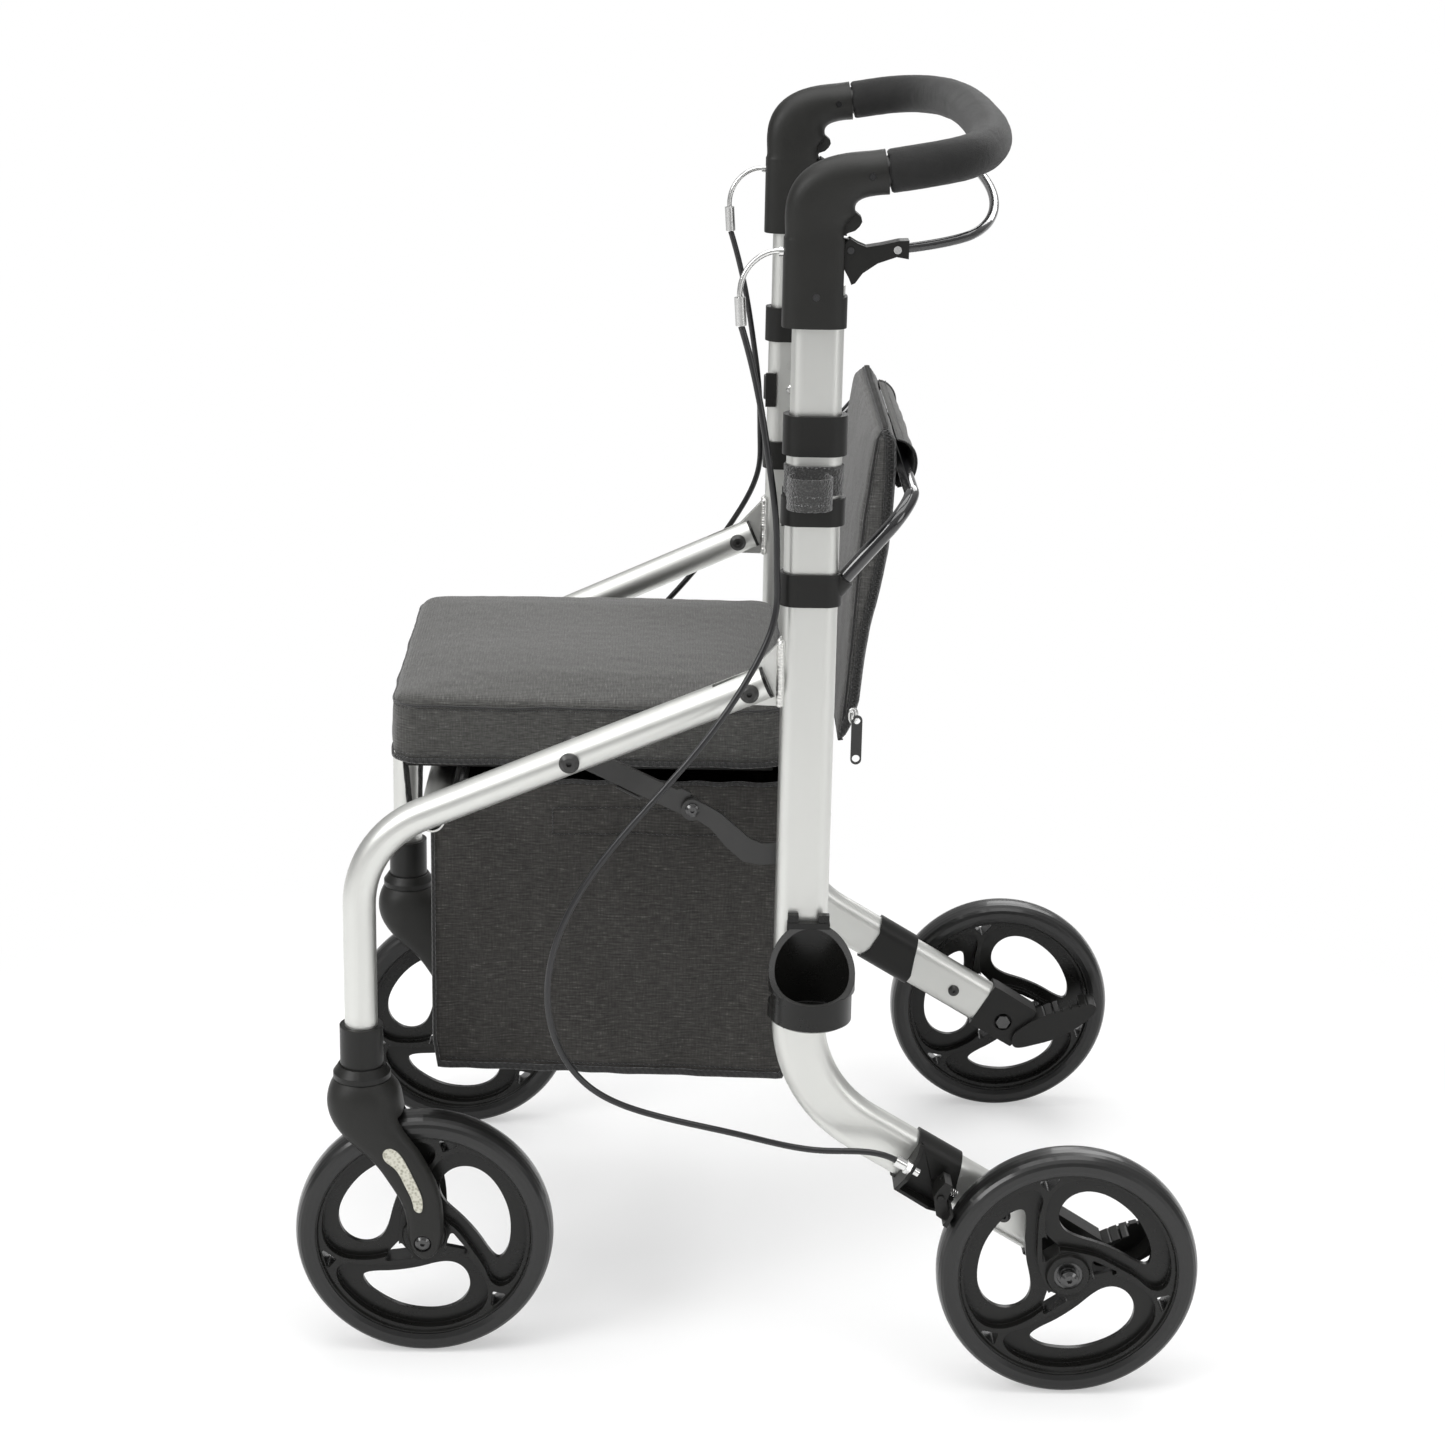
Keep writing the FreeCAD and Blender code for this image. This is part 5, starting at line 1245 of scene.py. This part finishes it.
# place along a bead and its radius there, as shares of the bead's size
BEAD = ((-1, 0.2), (-0.7, 0.75), (0, 1), (0.7, 0.75), (1, 0.2))


def bead_row(points, radius, cords):
    """Overlapping beads of slightly uneven size."""
    for a, b in zip(points, points[1:]):
        leg = b - a
        along = leg.normalized()
        count = max(1, int(leg.length / (radius * 0.6)))
        for i in range(count):
            p = a + leg * (i / count)
            size = radius * random.uniform(0.9, 1.1)
            cords.cord([p + along * size * t for t, _ in BEAD],
                       [size * share for _, share in BEAD])


def make_welds():
    """A row of beads on both sides of each fold bracket."""
    welds = Cords()
    for _, sign in SIDES:
        for edge in (-1, 1):
            x = sign * (BRACKET_X + edge * BRACKET_HALF)
            line = [Vector((x, WELD_Y, z)) for z in np.linspace(WELD_BOTTOM, WELD_TOP, 12)]
            bead_row(line, WELD_RADIUS, welds)
    place(welds.build("bracket_welds", WELD), "rear_frame")


# ------------------------------------------------------------------ floor, light and camera
def make_floor():
    bpy.ops.mesh.primitive_plane_add(size=14, location=(0, 0, 0))
    floor = bpy.context.object
    floor.name = "floor"
    floor.data.materials.append(mat_floor())


def make_world():
    """Plain white to the camera; to everything else, grey that brightens upwards."""
    world = bpy.data.worlds.new("studio")
    SCENE.world = world
    world.use_nodes = True
    nodes, link = world.node_tree.nodes, world.node_tree.links.new
    nodes.clear()
    output = nodes.new("ShaderNodeOutputWorld")
    coords = nodes.new("ShaderNodeTexCoord")
    split = nodes.new("ShaderNodeSeparateXYZ")
    ramp = nodes.new("ShaderNodeValToRGB")
    elements = ramp.color_ramp.elements
    elements[0].color = (*grey(0.30), 1)
    elements[1].color = (*grey(1.0), 1)
    for position, value in ((0.48, 0.40), (0.60, 0.46), (0.74, 0.75)):
        elements.new(position).color = (*grey(value), 1)
    height = nodes.new("ShaderNodeMapRange")
    height.inputs[1].default_value = -1.0    # from straight down
    height.inputs[2].default_value = 1.0     # to straight up
    sky = nodes.new("ShaderNodeBackground")
    sky.inputs["Strength"].default_value = 0.70
    backdrop = nodes.new("ShaderNodeBackground")
    backdrop.inputs["Color"].default_value = (*grey(1.0), 1)
    backdrop.inputs["Strength"].default_value = 1.0
    rays = nodes.new("ShaderNodeLightPath")
    blend = nodes.new("ShaderNodeMixShader")
    link(coords.outputs["Generated"], split.inputs[0])
    link(split.outputs["Z"], height.inputs[0])
    link(height.outputs[0], ramp.inputs[0])
    link(ramp.outputs[0], sky.inputs[0])
    link(rays.outputs["Is Camera Ray"], blend.inputs[0])
    link(sky.outputs[0], blend.inputs[1])
    link(backdrop.outputs[0], blend.inputs[2])
    link(blend.outputs[0], output.inputs[0])


def make_light(name, at, target, size, power):
    """A square area light aimed at the target."""
    lamp = bpy.data.lights.new(name, "AREA")
    lamp.shape = "RECTANGLE"
    lamp.size = size
    lamp.size_y = size
    lamp.energy = power
    obj = bpy.data.objects.new(name, lamp)
    SCENE.collection.objects.link(obj)
    obj.location = at
    obj.rotation_euler = (Vector(target) - Vector(at)).to_track_quat("-Z", "Y").to_euler()


def make_lights():
    make_light("key", at=(1.9, -2.6, 2.4), target=(0, 0, 0.5), size=1.6, power=62)
    make_light("fill", at=(2.2, 2.4, 1.3), target=(0, 0, 0.45), size=1.2, power=14)
    make_light("top", at=(0.2, 0.0, 2.6), target=(0, 0, 0), size=2.4, power=48)
    make_light("rim", at=(-2.4, 0.9, 1.9), target=(0, 0, 0.6), size=1.6, power=24)


CAMERA_TARGET = Vector((0, -0.00236, 0.4506))
CAMERA_DISTANCE = 2.4914
CAMERA_AZIMUTH = math.radians(88.88)    # from -Y towards +X
CAMERA_ELEVATION = math.radians(17.292)
CAMERA_ROLL = math.radians(1.171)


def make_camera():
    data = bpy.data.cameras.new("camera")
    camera = bpy.data.objects.new("camera", data)
    SCENE.collection.objects.link(camera)
    SCENE.camera = camera
    data.sensor_width = 36.0
    data.lens = 76.43
    level = math.cos(CAMERA_ELEVATION)
    back = Vector((math.sin(CAMERA_AZIMUTH) * level, -math.cos(CAMERA_AZIMUTH) * level,
                   math.sin(CAMERA_ELEVATION)))
    forward = -back
    right = forward.cross(Vector((0, 0, 1))).normalized()
    up = right.cross(forward)
    cos_roll, sin_roll = math.cos(CAMERA_ROLL), math.sin(CAMERA_ROLL)
    across = right * cos_roll + up * sin_roll
    upright = up * cos_roll - right * sin_roll
    at = CAMERA_TARGET + back * CAMERA_DISTANCE
    columns = (across, upright, back, at)
    camera.matrix_world = Matrix([[c[i] for c in columns] for i in range(3)] + [[0, 0, 0, 1]])
    SCENE.view_settings.view_transform = "Standard"
    SCENE.view_settings.look = "None"


# ------------------------------------------------------------------ build
dress_cad_pieces()

pad_tree = make_pad()
make_pad_front_seam(pad_tree)
band_rows = make_pad_zip_band(pad_tree)
make_zip_teeth(band_rows)
make_band_stitching(band_rows)
make_zip_slider()
make_zip_tape_fray()
make_sleeve()

seat_tree = make_seat()
make_seat_seams(seat_tree)
make_seat_binding(seat_tree)

make_bag()
make_strap_fray(make_stick_strap())
make_seat_pull()
make_foam_grip()
make_cables()
make_welds()

make_floor()
make_world()
make_lights()
make_camera()

bpy.context.view_layer.update()
